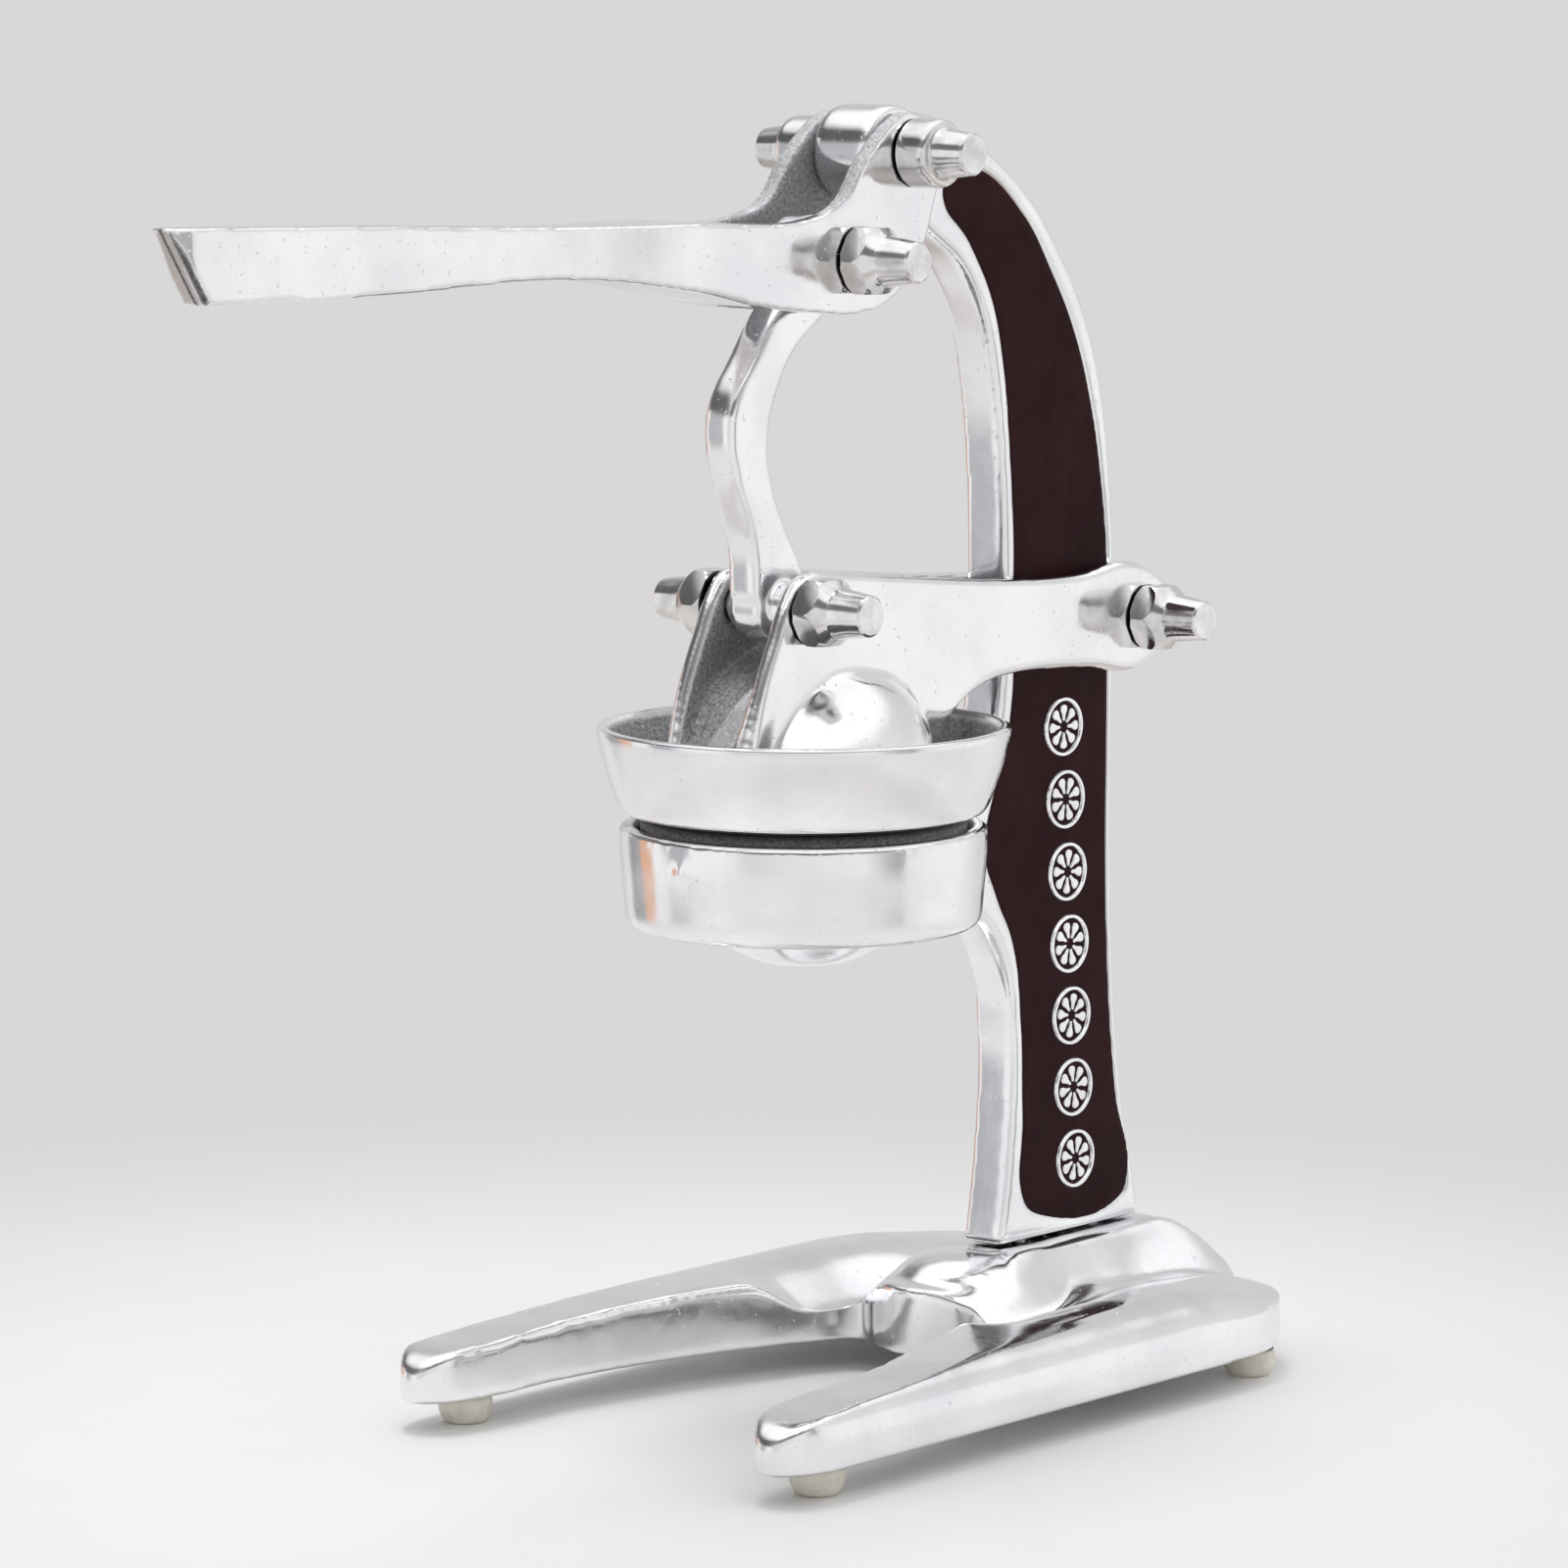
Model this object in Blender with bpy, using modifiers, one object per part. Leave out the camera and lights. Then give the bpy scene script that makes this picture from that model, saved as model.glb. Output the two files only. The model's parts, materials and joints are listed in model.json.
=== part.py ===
"""Citrus press juicer: a table-top lever press of cast aluminium.

The side view is the Y-Z plane: the handle points to -Y, the column stands at +Y, and X runs across the
press. Side outlines are lists of (y, z) in millimetres, measured from the point on the table under the
bowl's centre. A knot with a third entry, S, is passed through smoothly, and a knot of two is a corner.
At the end the whole press is moved so that the origin is at the bottom centre of its bounding box.
"""

import math

import bmesh
import bpy
from mathutils import Matrix, Vector

MM = 0.001
S = "smooth"

# Clearances
GAP = 0.3
RUNNING = 0.3
FORK_CLEARANCE = 0.7
BELL_CLEARANCE = 1.3
SPIGOT_CLEARANCE = 0.5

# Heights above the table
BASE_BOTTOM_Z = 8.0
COLUMN_FOOT_Z = 35.0
RING_BOTTOM_Z = 136.0
RING_HEIGHT = 28.0
RING_TOP_Z = RING_BOTTOM_Z + RING_HEIGHT
FUNNEL_BOTTOM_Z = RING_BOTTOM_Z - 10.0
BOWL_SHOULDER_Z = RING_TOP_Z + 3.0
BOWL_RIM_Z = RING_TOP_Z + 27.0
STRAINER_TOP_Z = RING_TOP_Z + 18.0
BELL_RIM_Z = RING_TOP_Z - 3.0
BELL_TOP_Z = RING_TOP_Z + 45.0

# Pivots of the four-bar linkage, as (y, z)
PIVOT_HANDLE = (27.3, RING_TOP_Z + 181.0)
PIVOT_LINK_TOP = (4.4, RING_TOP_Z + 153.0)
PIVOT_LINK_FOOT = (-15.0, RING_TOP_Z + 60.0)
PIVOT_ARM = (131.0, RING_TOP_Z + 47.0)

# Column, with its boss at the handle's pivot and its lug at the arm's
COLUMN_THICKNESS = 15.0
COLUMN_BOSS_HALF_WIDTH = COLUMN_THICKNESS / 2 + 2.3
PANEL_DEPTH = 1.8
INLAY_THICKNESS = 0.9

# Fork and plates, across the press
PLATE_THICKNESS = 5.5
FORK_INNER_HALF_WIDTH = COLUMN_BOSS_HALF_WIDTH + FORK_CLEARANCE
FORK_HALF_WIDTH = FORK_INNER_HALF_WIDTH + PLATE_THICKNESS
HANDLE_HALF_WIDTH = 5.0
HANDLE_TIP_Y = -239.0
HANDLE_FORK_ROOT_Y = -30.0
LINK_HALF_THICKNESS = 5.5

# Pins, their taper nuts, and the eyes round them
PIN_RADIUS = 4.0
PIN_HALF_LENGTH = FORK_HALF_WIDTH + 14.0
NUT_CORNER_RADIUS = PIN_RADIUS + 6.2
NUT_END_RADIUS = PIN_RADIUS + 2.0
NUT_LENGTH = 20.5
NUT_HEX_LENGTH = 7.0
COLUMN_BOSS_RADIUS = PIN_RADIUS + 9.0
COLUMN_LUG_RADIUS = PIN_RADIUS + 7.0
LINK_FOOT_EYE_RADIUS = PIN_RADIUS + 5.5
LINK_SLOT_RADIUS = PIN_RADIUS + 1.4
LINK_TOP_EYE_RADIUS = LINK_SLOT_RADIUS + 8.1
LINK_SLOT_END = (-6.1, -1.9)

# Medallions along the lower part of the panel
MEDALLION_COUNT = 7
MEDALLION_RADIUS = 8.6
MEDALLION_FIRST = (104.5, RING_TOP_Z + 17.0)
MEDALLION_LAST = (111.0, COLUMN_FOOT_Z + 21.0)

# Ring that holds the bowl
RING_BORE_RADIUS = 45.0
RING_WALL = 3.5
RING_BOTTOM_RADIUS = RING_BORE_RADIUS + RING_WALL
RING_TOP_RADIUS = RING_BOTTOM_RADIUS + 1.8
RING_LEDGE_RADIUS = RING_BORE_RADIUS - 7.0
RING_LEDGE_THICKNESS = 4.0

# Bowl
BOWL_WALL = 3.2
BOWL_FLOOR_THICKNESS = 3.0
BOWL_SPIGOT_RADIUS = RING_BORE_RADIUS - SPIGOT_CLEARANCE
BOWL_SHOULDER_RADIUS = RING_BORE_RADIUS + 2.2
BOWL_RIM_RADIUS = BOWL_SHOULDER_RADIUS + 9.3
BOWL_OUTLET_RADIUS = RING_LEDGE_RADIUS - 4.0

# Bell of the press arm, which drops into the bowl
BELL_RADIUS = BOWL_SPIGOT_RADIUS - BOWL_WALL - BELL_CLEARANCE
BELL_WALL = 5.0

# Strainer under the bell, and the funnel under it
STRAINER_THICKNESS = 2.0
STRAINER_BASE_RADIUS = BELL_RADIUS - BELL_WALL - 9.0
STRAINER_TOP_RADIUS = 8.0
STRAINER_HOLE_RADIUS = 2.2
STRAINER_HOLES = 10
FUNNEL_FLANGE_THICKNESS = 2.5
FUNNEL_WALL = 2.5
FUNNEL_NECK_RADIUS = RING_LEDGE_RADIUS - 1.0
FUNNEL_BOTTOM_RADIUS = RING_LEDGE_RADIUS - 17.0
FUNNEL_OUTLET_RADIUS = 8.0

# Base
BASE_HALF_WIDTH = 75.0
LEG_TIP_WIDTH = 22.0
LEG_TIP_Y = -90.0
LEG_STRAIGHT_Y = LEG_TIP_Y + 15.0
BASE_REAR_Y = 160.0
PLATFORM_HALF_WIDTH = COLUMN_THICKNESS / 2 + 5.5
PLATFORM_FOOT_HALF_WIDTH = PLATFORM_HALF_WIDTH + 31.0
HUMP_RADIUS = 22.0
HUMP_Y = 66.0

# Feet and their screws
FOOT_RADIUS = 7.5
FOOT_FLAT_RADIUS = 5.0
FOOT_RECESS_TOP_Z = 4.6
FOOT_SCREW_RADIUS = 1.6
FOOT_SCREW_HEAD_RADIUS = 2.8
FOOT_SCREW_HEAD_HEIGHT = 2.4
FOOT_SCREW_LENGTH = 12.0
FOOT_X = BASE_HALF_WIDTH - 11.5
FRONT_FOOT_Y = LEG_TIP_Y + 22.0
REAR_FOOT_Y = BASE_REAR_Y - 41.0

# Bolts that hold the column, and their washers
BOLT_RADIUS = 3.0
BOLT_HEAD_RADIUS = 5.8
BOLT_HEAD_HEIGHT = 4.2
BOLT_POCKET_RADIUS = 9.0
BOLT_POCKET_TOP_Z = COLUMN_FOOT_Z - 14.0
BOLT_HOLE_TOP_Z = COLUMN_FOOT_Z + 17.0
BOLT_YS = (93.0, 126.0)
WASHER_THICKNESS = 1.5
WASHER_RADIUS = 7.5


def above(level, knots):
    """Knots of (y, height above a level) as (y, z)."""
    return [(knot[0], level + knot[1], *knot[2:]) for knot in knots]


COLUMN_OUTLINE = above(RING_TOP_Z, [
    (27.0, 193.0), (50.0, 189.5, S), (72.0, 179.3, S), (88.4, 167.2, S), (101.5, 152.3, S),
    (112.8, 135.1, S), (121.0, 113.4, S), (125.6, 86.0, S), (127.6, 61.0, S), (127.2, 26.0, S),
    (127.6, -41.6, S),
]) + above(COLUMN_FOOT_Z, [
    (132.7, 37.4, S), (141.4, GAP), (77.0, GAP), (80.8, 25.0, S), (82.4, 58.8, S),
]) + above(RING_TOP_Z, [
    (78.5, -48.0, S), (66.0, -33.0, S), (RING_BORE_RADIUS + 1.8, -26.0), (RING_BORE_RADIUS + 1.8, -1.0),
    (62.0, 2.0, S), (71.5, 12.0, S), (76.8, 33.0, S), (77.5, 61.3, S), (76.4, 92.0, S), (73.2, 117.0, S),
    (69.0, 132.7, S), (60.0, 147.7, S), (45.4, 158.0, S), (28.0, 169.0),
])
PANEL_OUTLINE = above(RING_TOP_Z, [
    (50.6, 169.5, S), (55.0, 175.5, S), (64.0, 176.0, S), (86.0, 162.0, S), (98.4, 146.0, S),
    (108.4, 129.5, S), (115.6, 111.0, S), (121.4, 86.0, S), (124.6, 58.0, S), (124.6, 26.0, S),
    (125.0, -41.6, S),
]) + above(COLUMN_FOOT_Z, [
    (129.8, 37.4, S), (135.4, 11.5, S), (132.0, 6.5, S), (95.0, 6.5, S), (88.4, 11.0, S), (87.4, 35.8, S),
    (86.2, 64.1, S),
]) + above(RING_TOP_Z, [
    (82.8, -43.0, S), (75.0, -28.0, S), (70.0, -15.0, S), (75.4, 5.0, S), (80.6, 20.0, S), (82.3, 59.8, S),
    (79.8, 101.1, S), (77.0, 122.0, S), (72.2, 139.0, S), (62.3, 155.0, S),
])
HANDLE_OUTLINE = above(PIVOT_HANDLE[1], [
    (HANDLE_TIP_Y, -11.0), (HANDLE_TIP_Y + 75.0, -13.2, S), (-106.0, -15.4, S), (-60.0, -16.0, S),
    (-10.6, -15.6, S), (-1.5, -12.0, S), (7.0, -1.5, S), (17.5, 7.5), (27.3, 10.9, S), (38.3, 0.0, S),
    (36.0, -14.0, S), (29.0, -29.0, S), (18.0, -39.0, S), (4.0, -42.4, S), (-10.0, -41.7, S),
    (-34.3, -38.8, S), (-62.0, -33.6, S), (-95.0, -29.7, S), (HANDLE_TIP_Y + 75.0, -30.7, S),
    (HANDLE_TIP_Y + 12.6, -30.7),
])
LINK_OUTLINE = above(PIVOT_LINK_FOOT[1], [
    (-6.5, 87.5), (-16.5, 79.6, S), (-26.0, 67.5, S), (-34.3, 55.5, S), (-35.6, 47.0, S), (-33.5, 36.0, S),
    (-26.6, 17.0, S), (-25.5, 3.0), (-6.0, -6.0), (-5.0, 7.5, S), (-12.5, 22.0, S), (-17.8, 33.5, S),
    (-19.4, 46.0, S), (-14.8, 60.0, S), (-8.3, 69.0, S), (2.0, 76.5, S), (15.5, 87.0),
])
ARM_OUTLINE = above(PIVOT_ARM[1], [
    (-12.0, 23.6), (20.0, 20.0, S), (73.0, 15.0, S), (99.0, 14.0, S), (131.0, 14.5, S), (145.4, 0.0, S),
    (131.0, -14.4, S), (104.0, -12.8, S), (73.0, -11.8, S), (60.0, -13.4, S), (48.0, -19.0, S),
    (40.0, -28.0, S), (33.0, -41.0), (-38.0, -41.0), (-40.5, -31.0, S), (-38.5, -19.0, S), (-34.5, -5.5, S),
    (-29.0, 6.5, S), (-24.0, 16.5, S), (-18.5, 22.3, S),
])
WEB_OUTLINE = above(PIVOT_ARM[1], [
    (3.0, 16.0), (14.0, 13.0), (30.0, -15.0), (20.0, -35.0), (-38.0, -37.0), (-38.0, -30.0, S),
    (-33.0, -19.0, S), (-27.0, -10.0, S), (-15.0, -2.5, S), (-3.0, 3.0, S), (1.5, 10.0, S),
])
LEG_PROFILE = above(BASE_BOTTOM_Z, [
    (LEG_TIP_Y - 2.0, 0.0), (LEG_TIP_Y - 0.5, 4.0, S), (LEG_TIP_Y + 2.5, 9.0, S),
    (LEG_TIP_Y + 9.0, 13.0, S), (LEG_TIP_Y + 22.0, 15.2, S), (LEG_TIP_Y + 50.0, 17.0, S), (0.0, 19.0, S),
    (60.0, 20.0, S),
    (BASE_REAR_Y - 48.0, 19.0, S), (BASE_REAR_Y - 22.0, 14.5, S), (BASE_REAR_Y - 7.0, 7.0, S),
    (BASE_REAR_Y + 1.0, 0.0),
])
EDGE_PROFILE = [(BASE_HALF_WIDTH + 0.5, BASE_BOTTOM_Z)] + above(BASE_BOTTOM_Z, [
    (BASE_HALF_WIDTH - 0.4, 8.0, S), (BASE_HALF_WIDTH - 2.6, 13.0, S), (BASE_HALF_WIDTH - 7.0, 17.0, S),
    (BASE_HALF_WIDTH - 17.0, 20.5, S), (BASE_HALF_WIDTH - 30.0, 40.0), (0.0, 40.0),
])
PLATFORM_PROFILE = [(58.0, BASE_BOTTOM_Z)] + above(COLUMN_FOOT_Z, [
    (60.0, -7.0, S), (68.0, -1.4, S), (75.0, 0.0), (143.5, 0.0), (150.0, -3.0, S), (156.0, -13.0, S),
]) + [(158.5, BASE_BOTTOM_Z)]


def clear_scene():
    for obj in list(bpy.data.objects):
        bpy.data.objects.remove(obj, do_unlink=True)


def new_collection(name):
    made = bpy.data.collections.new(name)
    bpy.context.scene.collection.children.link(made)
    return made


clear_scene()
PARTS = new_collection("citrus_press_juicer")
CUTTERS = new_collection("cutters")


def material(name, colour, roughness, metallic):
    made = bpy.data.materials.new(name)
    made.use_nodes = True
    shader = made.node_tree.nodes["Principled BSDF"]
    shader.inputs["Base Color"].default_value = (*colour, 1.0)
    shader.inputs["Roughness"].default_value = roughness
    shader.inputs["Metallic"].default_value = metallic
    made.diffuse_color = (*colour, 1.0)
    return made


CAST = material("polished_cast_aluminium", (0.86, 0.86, 0.87), 0.16, 1.0)
ENAMEL = material("dark_enamel", (0.022, 0.006, 0.007), 0.35, 0.0)
STEEL = material("turned_steel", (0.62, 0.61, 0.60), 0.14, 1.0)
SHEET = material("stainless_sheet", (0.72, 0.72, 0.73), 0.28, 1.0)
RUBBER = material("ivory_rubber", (0.74, 0.70, 0.60), 0.6, 0.0)


def place(obj, group, finish=None):
    for held in list(obj.users_collection):
        held.objects.unlink(obj)
    group.objects.link(obj)
    if finish is not None:
        obj.data.materials.clear()
        obj.data.materials.append(finish)
    return obj


def helper(obj):
    place(obj, CUTTERS)
    obj.hide_render = True
    obj.display_type = "WIRE"
    return obj


def from_bmesh(name, shape):
    mesh = bpy.data.meshes.new(name)
    shape.to_mesh(mesh)
    shape.free()
    obj = bpy.data.objects.new(name, mesh)
    bpy.context.scene.collection.objects.link(obj)
    return obj


def outline_curve(name, knots, half_thickness, resolution, shrink):
    """A flat closed Bezier outline in its own X-Y plane, thickened both ways, turned into a closed mesh."""
    data = bpy.data.curves.new(name, "CURVE")
    data.dimensions = "2D"
    data.fill_mode = "BOTH"
    data.extrude = half_thickness * MM
    data.resolution_u = resolution
    data.offset = -shrink * MM
    spline = data.splines.new("BEZIER")
    spline.bezier_points.add(len(knots) - 1)
    for point, knot in zip(spline.bezier_points, knots):
        point.co = (knot[0] * MM, knot[1] * MM, 0.0)
        point.handle_left_type = "AUTO" if len(knot) == 3 else "VECTOR"
        point.handle_right_type = point.handle_left_type
    spline.use_cyclic_u = True
    obj = bpy.data.objects.new(name + "_outline", data)
    bpy.context.scene.collection.objects.link(obj)
    bpy.context.view_layer.update()
    graph = bpy.context.evaluated_depsgraph_get()
    mesh = bpy.data.meshes.new_from_object(obj.evaluated_get(graph))
    bpy.data.objects.remove(obj, do_unlink=True)
    shape = bmesh.new()
    shape.from_mesh(mesh)
    bpy.data.meshes.remove(mesh)
    bmesh.ops.remove_doubles(shape, verts=shape.verts, dist=1e-5)
    bmesh.ops.recalc_face_normals(shape, faces=shape.faces)
    return shape


def side_prism(name, knots, x_low, x_high, resolution=3, shrink=0.0):
    """An outline of (y, z) knots, solid from x_low to x_high."""
    shape = outline_curve(name, knots, (x_high - x_low) / 2, resolution, shrink)
    turn = Matrix(((0, 0, 1, (x_low + x_high) / 2 * MM), (1, 0, 0, 0), (0, 1, 0, 0), (0, 0, 0, 1)))
    bmesh.ops.transform(shape, matrix=turn, verts=shape.verts)
    return from_bmesh(name, shape)


def front_prism(name, knots, y_low, y_high, resolution=3):
    """An outline of (x, z) knots, solid from y_low to y_high."""
    shape = outline_curve(name, knots, (y_high - y_low) / 2, resolution, 0.0)
    turn = Matrix(((1, 0, 0, 0), (0, 0, -1, (y_low + y_high) / 2 * MM), (0, 1, 0, 0), (0, 0, 0, 1)))
    bmesh.ops.transform(shape, matrix=turn, verts=shape.verts)
    return from_bmesh(name, shape)


def plan_prism(name, knots, z_low, z_high, resolution=3):
    """An outline of (x, y) knots, solid from z_low to z_high."""
    shape = outline_curve(name, knots, (z_high - z_low) / 2, resolution, 0.0)
    bmesh.ops.translate(shape, vec=(0, 0, (z_low + z_high) / 2 * MM), verts=shape.verts)
    return from_bmesh(name, shape)


def cross_rod(name, radius, x_low, x_high, at, sides=24):
    """A cylinder along X through the side view's point at = (y, z)."""
    shape = bmesh.new()
    bmesh.ops.create_cone(
        shape, cap_ends=True, segments=sides, radius1=radius * MM, radius2=radius * MM,
        depth=(x_high - x_low) * MM, matrix=Matrix.Rotation(math.radians(90), 4, "Y"),
    )
    bmesh.ops.translate(shape, vec=((x_low + x_high) / 2 * MM, at[0] * MM, at[1] * MM), verts=shape.verts)
    return from_bmesh(name, shape)


def pin_bore(name, pivot):
    """A cutter right across the press for a pin's running hole."""
    return cross_rod(name, PIN_RADIUS + RUNNING, -PIN_HALF_LENGTH, PIN_HALF_LENGTH, pivot, 16)


def upright_rod(name, radius, z_low, z_high, at, sides=16):
    """A cylinder along Z through the plan's point at = (x, y)."""
    shape = bmesh.new()
    bmesh.ops.create_cone(
        shape, cap_ends=True, segments=sides, radius1=radius * MM, radius2=radius * MM,
        depth=(z_high - z_low) * MM,
    )
    bmesh.ops.translate(shape, vec=(at[0] * MM, at[1] * MM, (z_low + z_high) / 2 * MM), verts=shape.verts)
    return from_bmesh(name, shape)


def turned(name, profile, at=(0.0, 0.0), steps=36, closed=False):
    """A profile of (radius, z), outer side first and downwards, turned about the upright axis at (x, y)."""
    shape = bmesh.new()
    verts = [shape.verts.new((r * MM, 0.0, z * MM)) for r, z in profile]
    for one, two in zip(verts, verts[1:] + (verts[:1] if closed else [])):
        shape.edges.new((one, two))
    obj = from_bmesh(name, shape)
    screw = obj.modifiers.new("turn", "SCREW")
    screw.axis = "Z"
    screw.angle = math.tau
    screw.steps = steps
    screw.render_steps = steps
    screw.use_merge_vertices = True
    screw.merge_threshold = 1e-5
    obj.location = (at[0] * MM, at[1] * MM, 0.0)
    return obj


def boolean(target, operation, others):
    for other in others:
        cut = target.modifiers.new(operation.lower(), "BOOLEAN")
        cut.solver = "MANIFOLD"
        cut.operation = operation
        cut.object = helper(other)
    return target


def finish(obj, surface, sharp_degrees=35.0):
    """Applies what was stacked on the piece, shades its round faces smooth and files it under the press."""
    bpy.context.view_layer.update()
    graph = bpy.context.evaluated_depsgraph_get()
    mesh = bpy.data.meshes.new_from_object(obj.evaluated_get(graph))
    mesh.name = obj.name
    obj.modifiers.clear()
    obj.data = mesh
    mesh.shade_smooth()
    mesh.set_sharp_from_angle(angle=math.radians(sharp_degrees))
    return place(obj, PARTS, surface)


def set_origin(obj, point):
    """Puts the object's origin on its joint's axis without moving its shape."""
    there = Vector((0.0, point[0] * MM, point[1] * MM))
    obj.data.transform(Matrix.Translation(-there))
    obj.location = there
    return obj


def mirrored(half):
    """A plan outline that is symmetric about X = 0, from its +X half, front to back."""
    other = [(-knot[0], *knot[1:]) for knot in reversed(half) if knot[0] > 0]
    return half + other


# --- base -------------------------------------------------------------------------------------------------


def base_plan():
    inner = BASE_HALF_WIDTH - LEG_TIP_WIDTH
    middle = BASE_HALF_WIDTH - LEG_TIP_WIDTH / 2
    hump_front = HUMP_Y - HUMP_RADIUS
    return mirrored([
        (0.0, hump_front, S), (14.0, hump_front + 3.5, S), (22.0, hump_front + 7.5, S),
        (inner - 22.5, 40.0, S), (inner - 16.0, 24.0, S), (inner - 8.5, 0.0, S),
        (inner - 1.5, LEG_TIP_Y + 52.0, S), (inner, LEG_STRAIGHT_Y, S), (middle - 7.5, LEG_TIP_Y + 5.0, S),
        (middle, LEG_TIP_Y, S), (middle + 7.5, LEG_TIP_Y + 5.0, S), (BASE_HALF_WIDTH, LEG_STRAIGHT_Y),
        (BASE_HALF_WIDTH, BASE_REAR_Y - 64.0), (BASE_HALF_WIDTH - 4.5, BASE_REAR_Y - 37.0, S),
        (BASE_HALF_WIDTH - 35.0, BASE_REAR_Y - 9.0, S), (0.0, BASE_REAR_Y, S),
    ])


def make_base():
    clear_top = COLUMN_FOOT_Z + 10.0
    clear_side = BASE_HALF_WIDTH + 15.0
    base = plan_prism("base_casting", base_plan(), BASE_BOTTOM_Z, clear_top)
    platform = side_prism("platform_profile", PLATFORM_PROFILE, -clear_side, clear_side)
    slopes = bmesh.new()
    bmesh.ops.create_cube(slopes, size=1.0)
    for vert in slopes.verts:
        wide = PLATFORM_HALF_WIDTH if vert.co.z > 0 else PLATFORM_FOOT_HALF_WIDTH
        vert.co.x = math.copysign(wide * MM, vert.co.x)
        vert.co.y = (BASE_REAR_Y + 20.0 if vert.co.y > 0 else HUMP_Y - 16.0) * MM
        vert.co.z = (COLUMN_FOOT_Z if vert.co.z > 0 else BASE_BOTTOM_Z) * MM
    boolean(platform, "INTERSECT", [from_bmesh("platform_slopes", slopes)])
    hump = turned("hump", above(COLUMN_FOOT_Z, [
        (0.0, -1.5), (HUMP_RADIUS - 14.0, -2.2), (HUMP_RADIUS - 7.0, -5.5), (HUMP_RADIUS - 2.0, -12.0),
        (HUMP_RADIUS, -21.0),
    ]) + [(HUMP_RADIUS, BASE_BOTTOM_Z), (0.0, BASE_BOTTOM_Z)], at=(0.0, HUMP_Y), steps=32)
    crown = side_prism("leg_profile", LEG_PROFILE, -clear_side, clear_side)
    boolean(crown, "UNION", [platform, hump])
    edges = front_prism("edge_profile", mirrored(EDGE_PROFILE), LEG_TIP_Y - 10.0, BASE_REAR_Y + 10.0)
    boolean(base, "INTERSECT", [crown, edges])
    cuts = []
    for y in BOLT_YS:
        cuts.append(upright_rod("bolt_pocket", BOLT_POCKET_RADIUS, 0.0, BOLT_POCKET_TOP_Z, (0.0, y)))
        cuts.append(upright_rod("bolt_hole", BOLT_RADIUS + GAP, BASE_BOTTOM_Z, clear_top, (0.0, y)))
    for at in foot_places():
        cuts.append(upright_rod("foot_screw_hole", FOOT_SCREW_RADIUS + GAP, 0.0, foot_screw_top() + GAP, at))
    boolean(base, "DIFFERENCE", cuts)
    return finish(base, CAST)


def foot_places():
    return [(x, y) for y in (FRONT_FOOT_Y, REAR_FOOT_Y) for x in (-FOOT_X, FOOT_X)]


def foot_names():
    return ("front_left", "front_right", "rear_left", "rear_right")


def foot_screw_top():
    return FOOT_RECESS_TOP_Z - GAP - FOOT_SCREW_HEAD_HEIGHT + FOOT_SCREW_LENGTH


def make_feet():
    top = BASE_BOTTOM_Z - GAP
    shoulder = FOOT_SCREW_HEAD_RADIUS + GAP
    bore = FOOT_SCREW_RADIUS + GAP
    recess_top = FOOT_RECESS_TOP_Z
    head_top = recess_top - GAP
    head_low = head_top - FOOT_SCREW_HEAD_HEIGHT
    for side, at in zip(foot_names(), foot_places()):
        foot = turned("foot_" + side, [
            (FOOT_RADIUS - 0.6, top), (FOOT_RADIUS, top - 2.0), (FOOT_RADIUS - 0.2, 3.4),
            (FOOT_RADIUS - 1.2, 1.2), (FOOT_FLAT_RADIUS, 0.0), (shoulder, 0.0), (shoulder, recess_top),
            (bore, recess_top), (bore, top),
        ], at=at, steps=16, closed=True)
        finish(foot, RUBBER)
        screw = turned("foot_screw_" + side, [
            (0.0, foot_screw_top()), (FOOT_SCREW_RADIUS, foot_screw_top()), (FOOT_SCREW_RADIUS, head_top),
            (FOOT_SCREW_HEAD_RADIUS, head_top), (FOOT_SCREW_HEAD_RADIUS, head_low + 0.8),
            (FOOT_SCREW_HEAD_RADIUS - 0.8, head_low + 0.2), (0.0, head_low),
        ], at=at, steps=10)
        finish(screw, STEEL)


def make_column_bolts():
    for end, y in zip(("front", "rear"), BOLT_YS):
        washer_top = BOLT_POCKET_TOP_Z - GAP
        washer_low = washer_top - WASHER_THICKNESS
        washer = turned("column_washer_" + end, [
            (WASHER_RADIUS, washer_top), (WASHER_RADIUS, washer_low), (BOLT_RADIUS + GAP, washer_low),
            (BOLT_RADIUS + GAP, washer_top),
        ], at=(0.0, y), steps=16, closed=True)
        finish(washer, STEEL)
        head_top = washer_low - GAP
        head_low = head_top - BOLT_HEAD_HEIGHT
        bolt = upright_rod("column_bolt_" + end, BOLT_HEAD_RADIUS, head_low, head_top, (0.0, y), 6)
        shank = upright_rod("bolt_shank", BOLT_RADIUS, head_top - 1.0, BOLT_HOLE_TOP_Z - 1.0, (0.0, y))
        boolean(bolt, "UNION", [shank])
        finish(bolt, STEEL)


# --- column -----------------------------------------------------------------------------------------------


def medallion_places():
    steps = MEDALLION_COUNT - 1
    first = Vector(MEDALLION_FIRST)
    last = Vector(MEDALLION_LAST)
    return [tuple(first.lerp(last, i / steps)) for i in range(MEDALLION_COUNT)]


def panel_pieces(name, x_low, x_high, shrink):
    """The panel's outline as a solid, with room left round the lug at the arm's pivot."""
    panel = side_prism(name, PANEL_OUTLINE, x_low, x_high, shrink=shrink)
    lug = cross_rod(name + "_lug", COLUMN_LUG_RADIUS + 2.0 + shrink, x_low - 1.0, x_high + 1.0, PIVOT_ARM)
    return boolean(panel, "DIFFERENCE", [lug])


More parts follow.
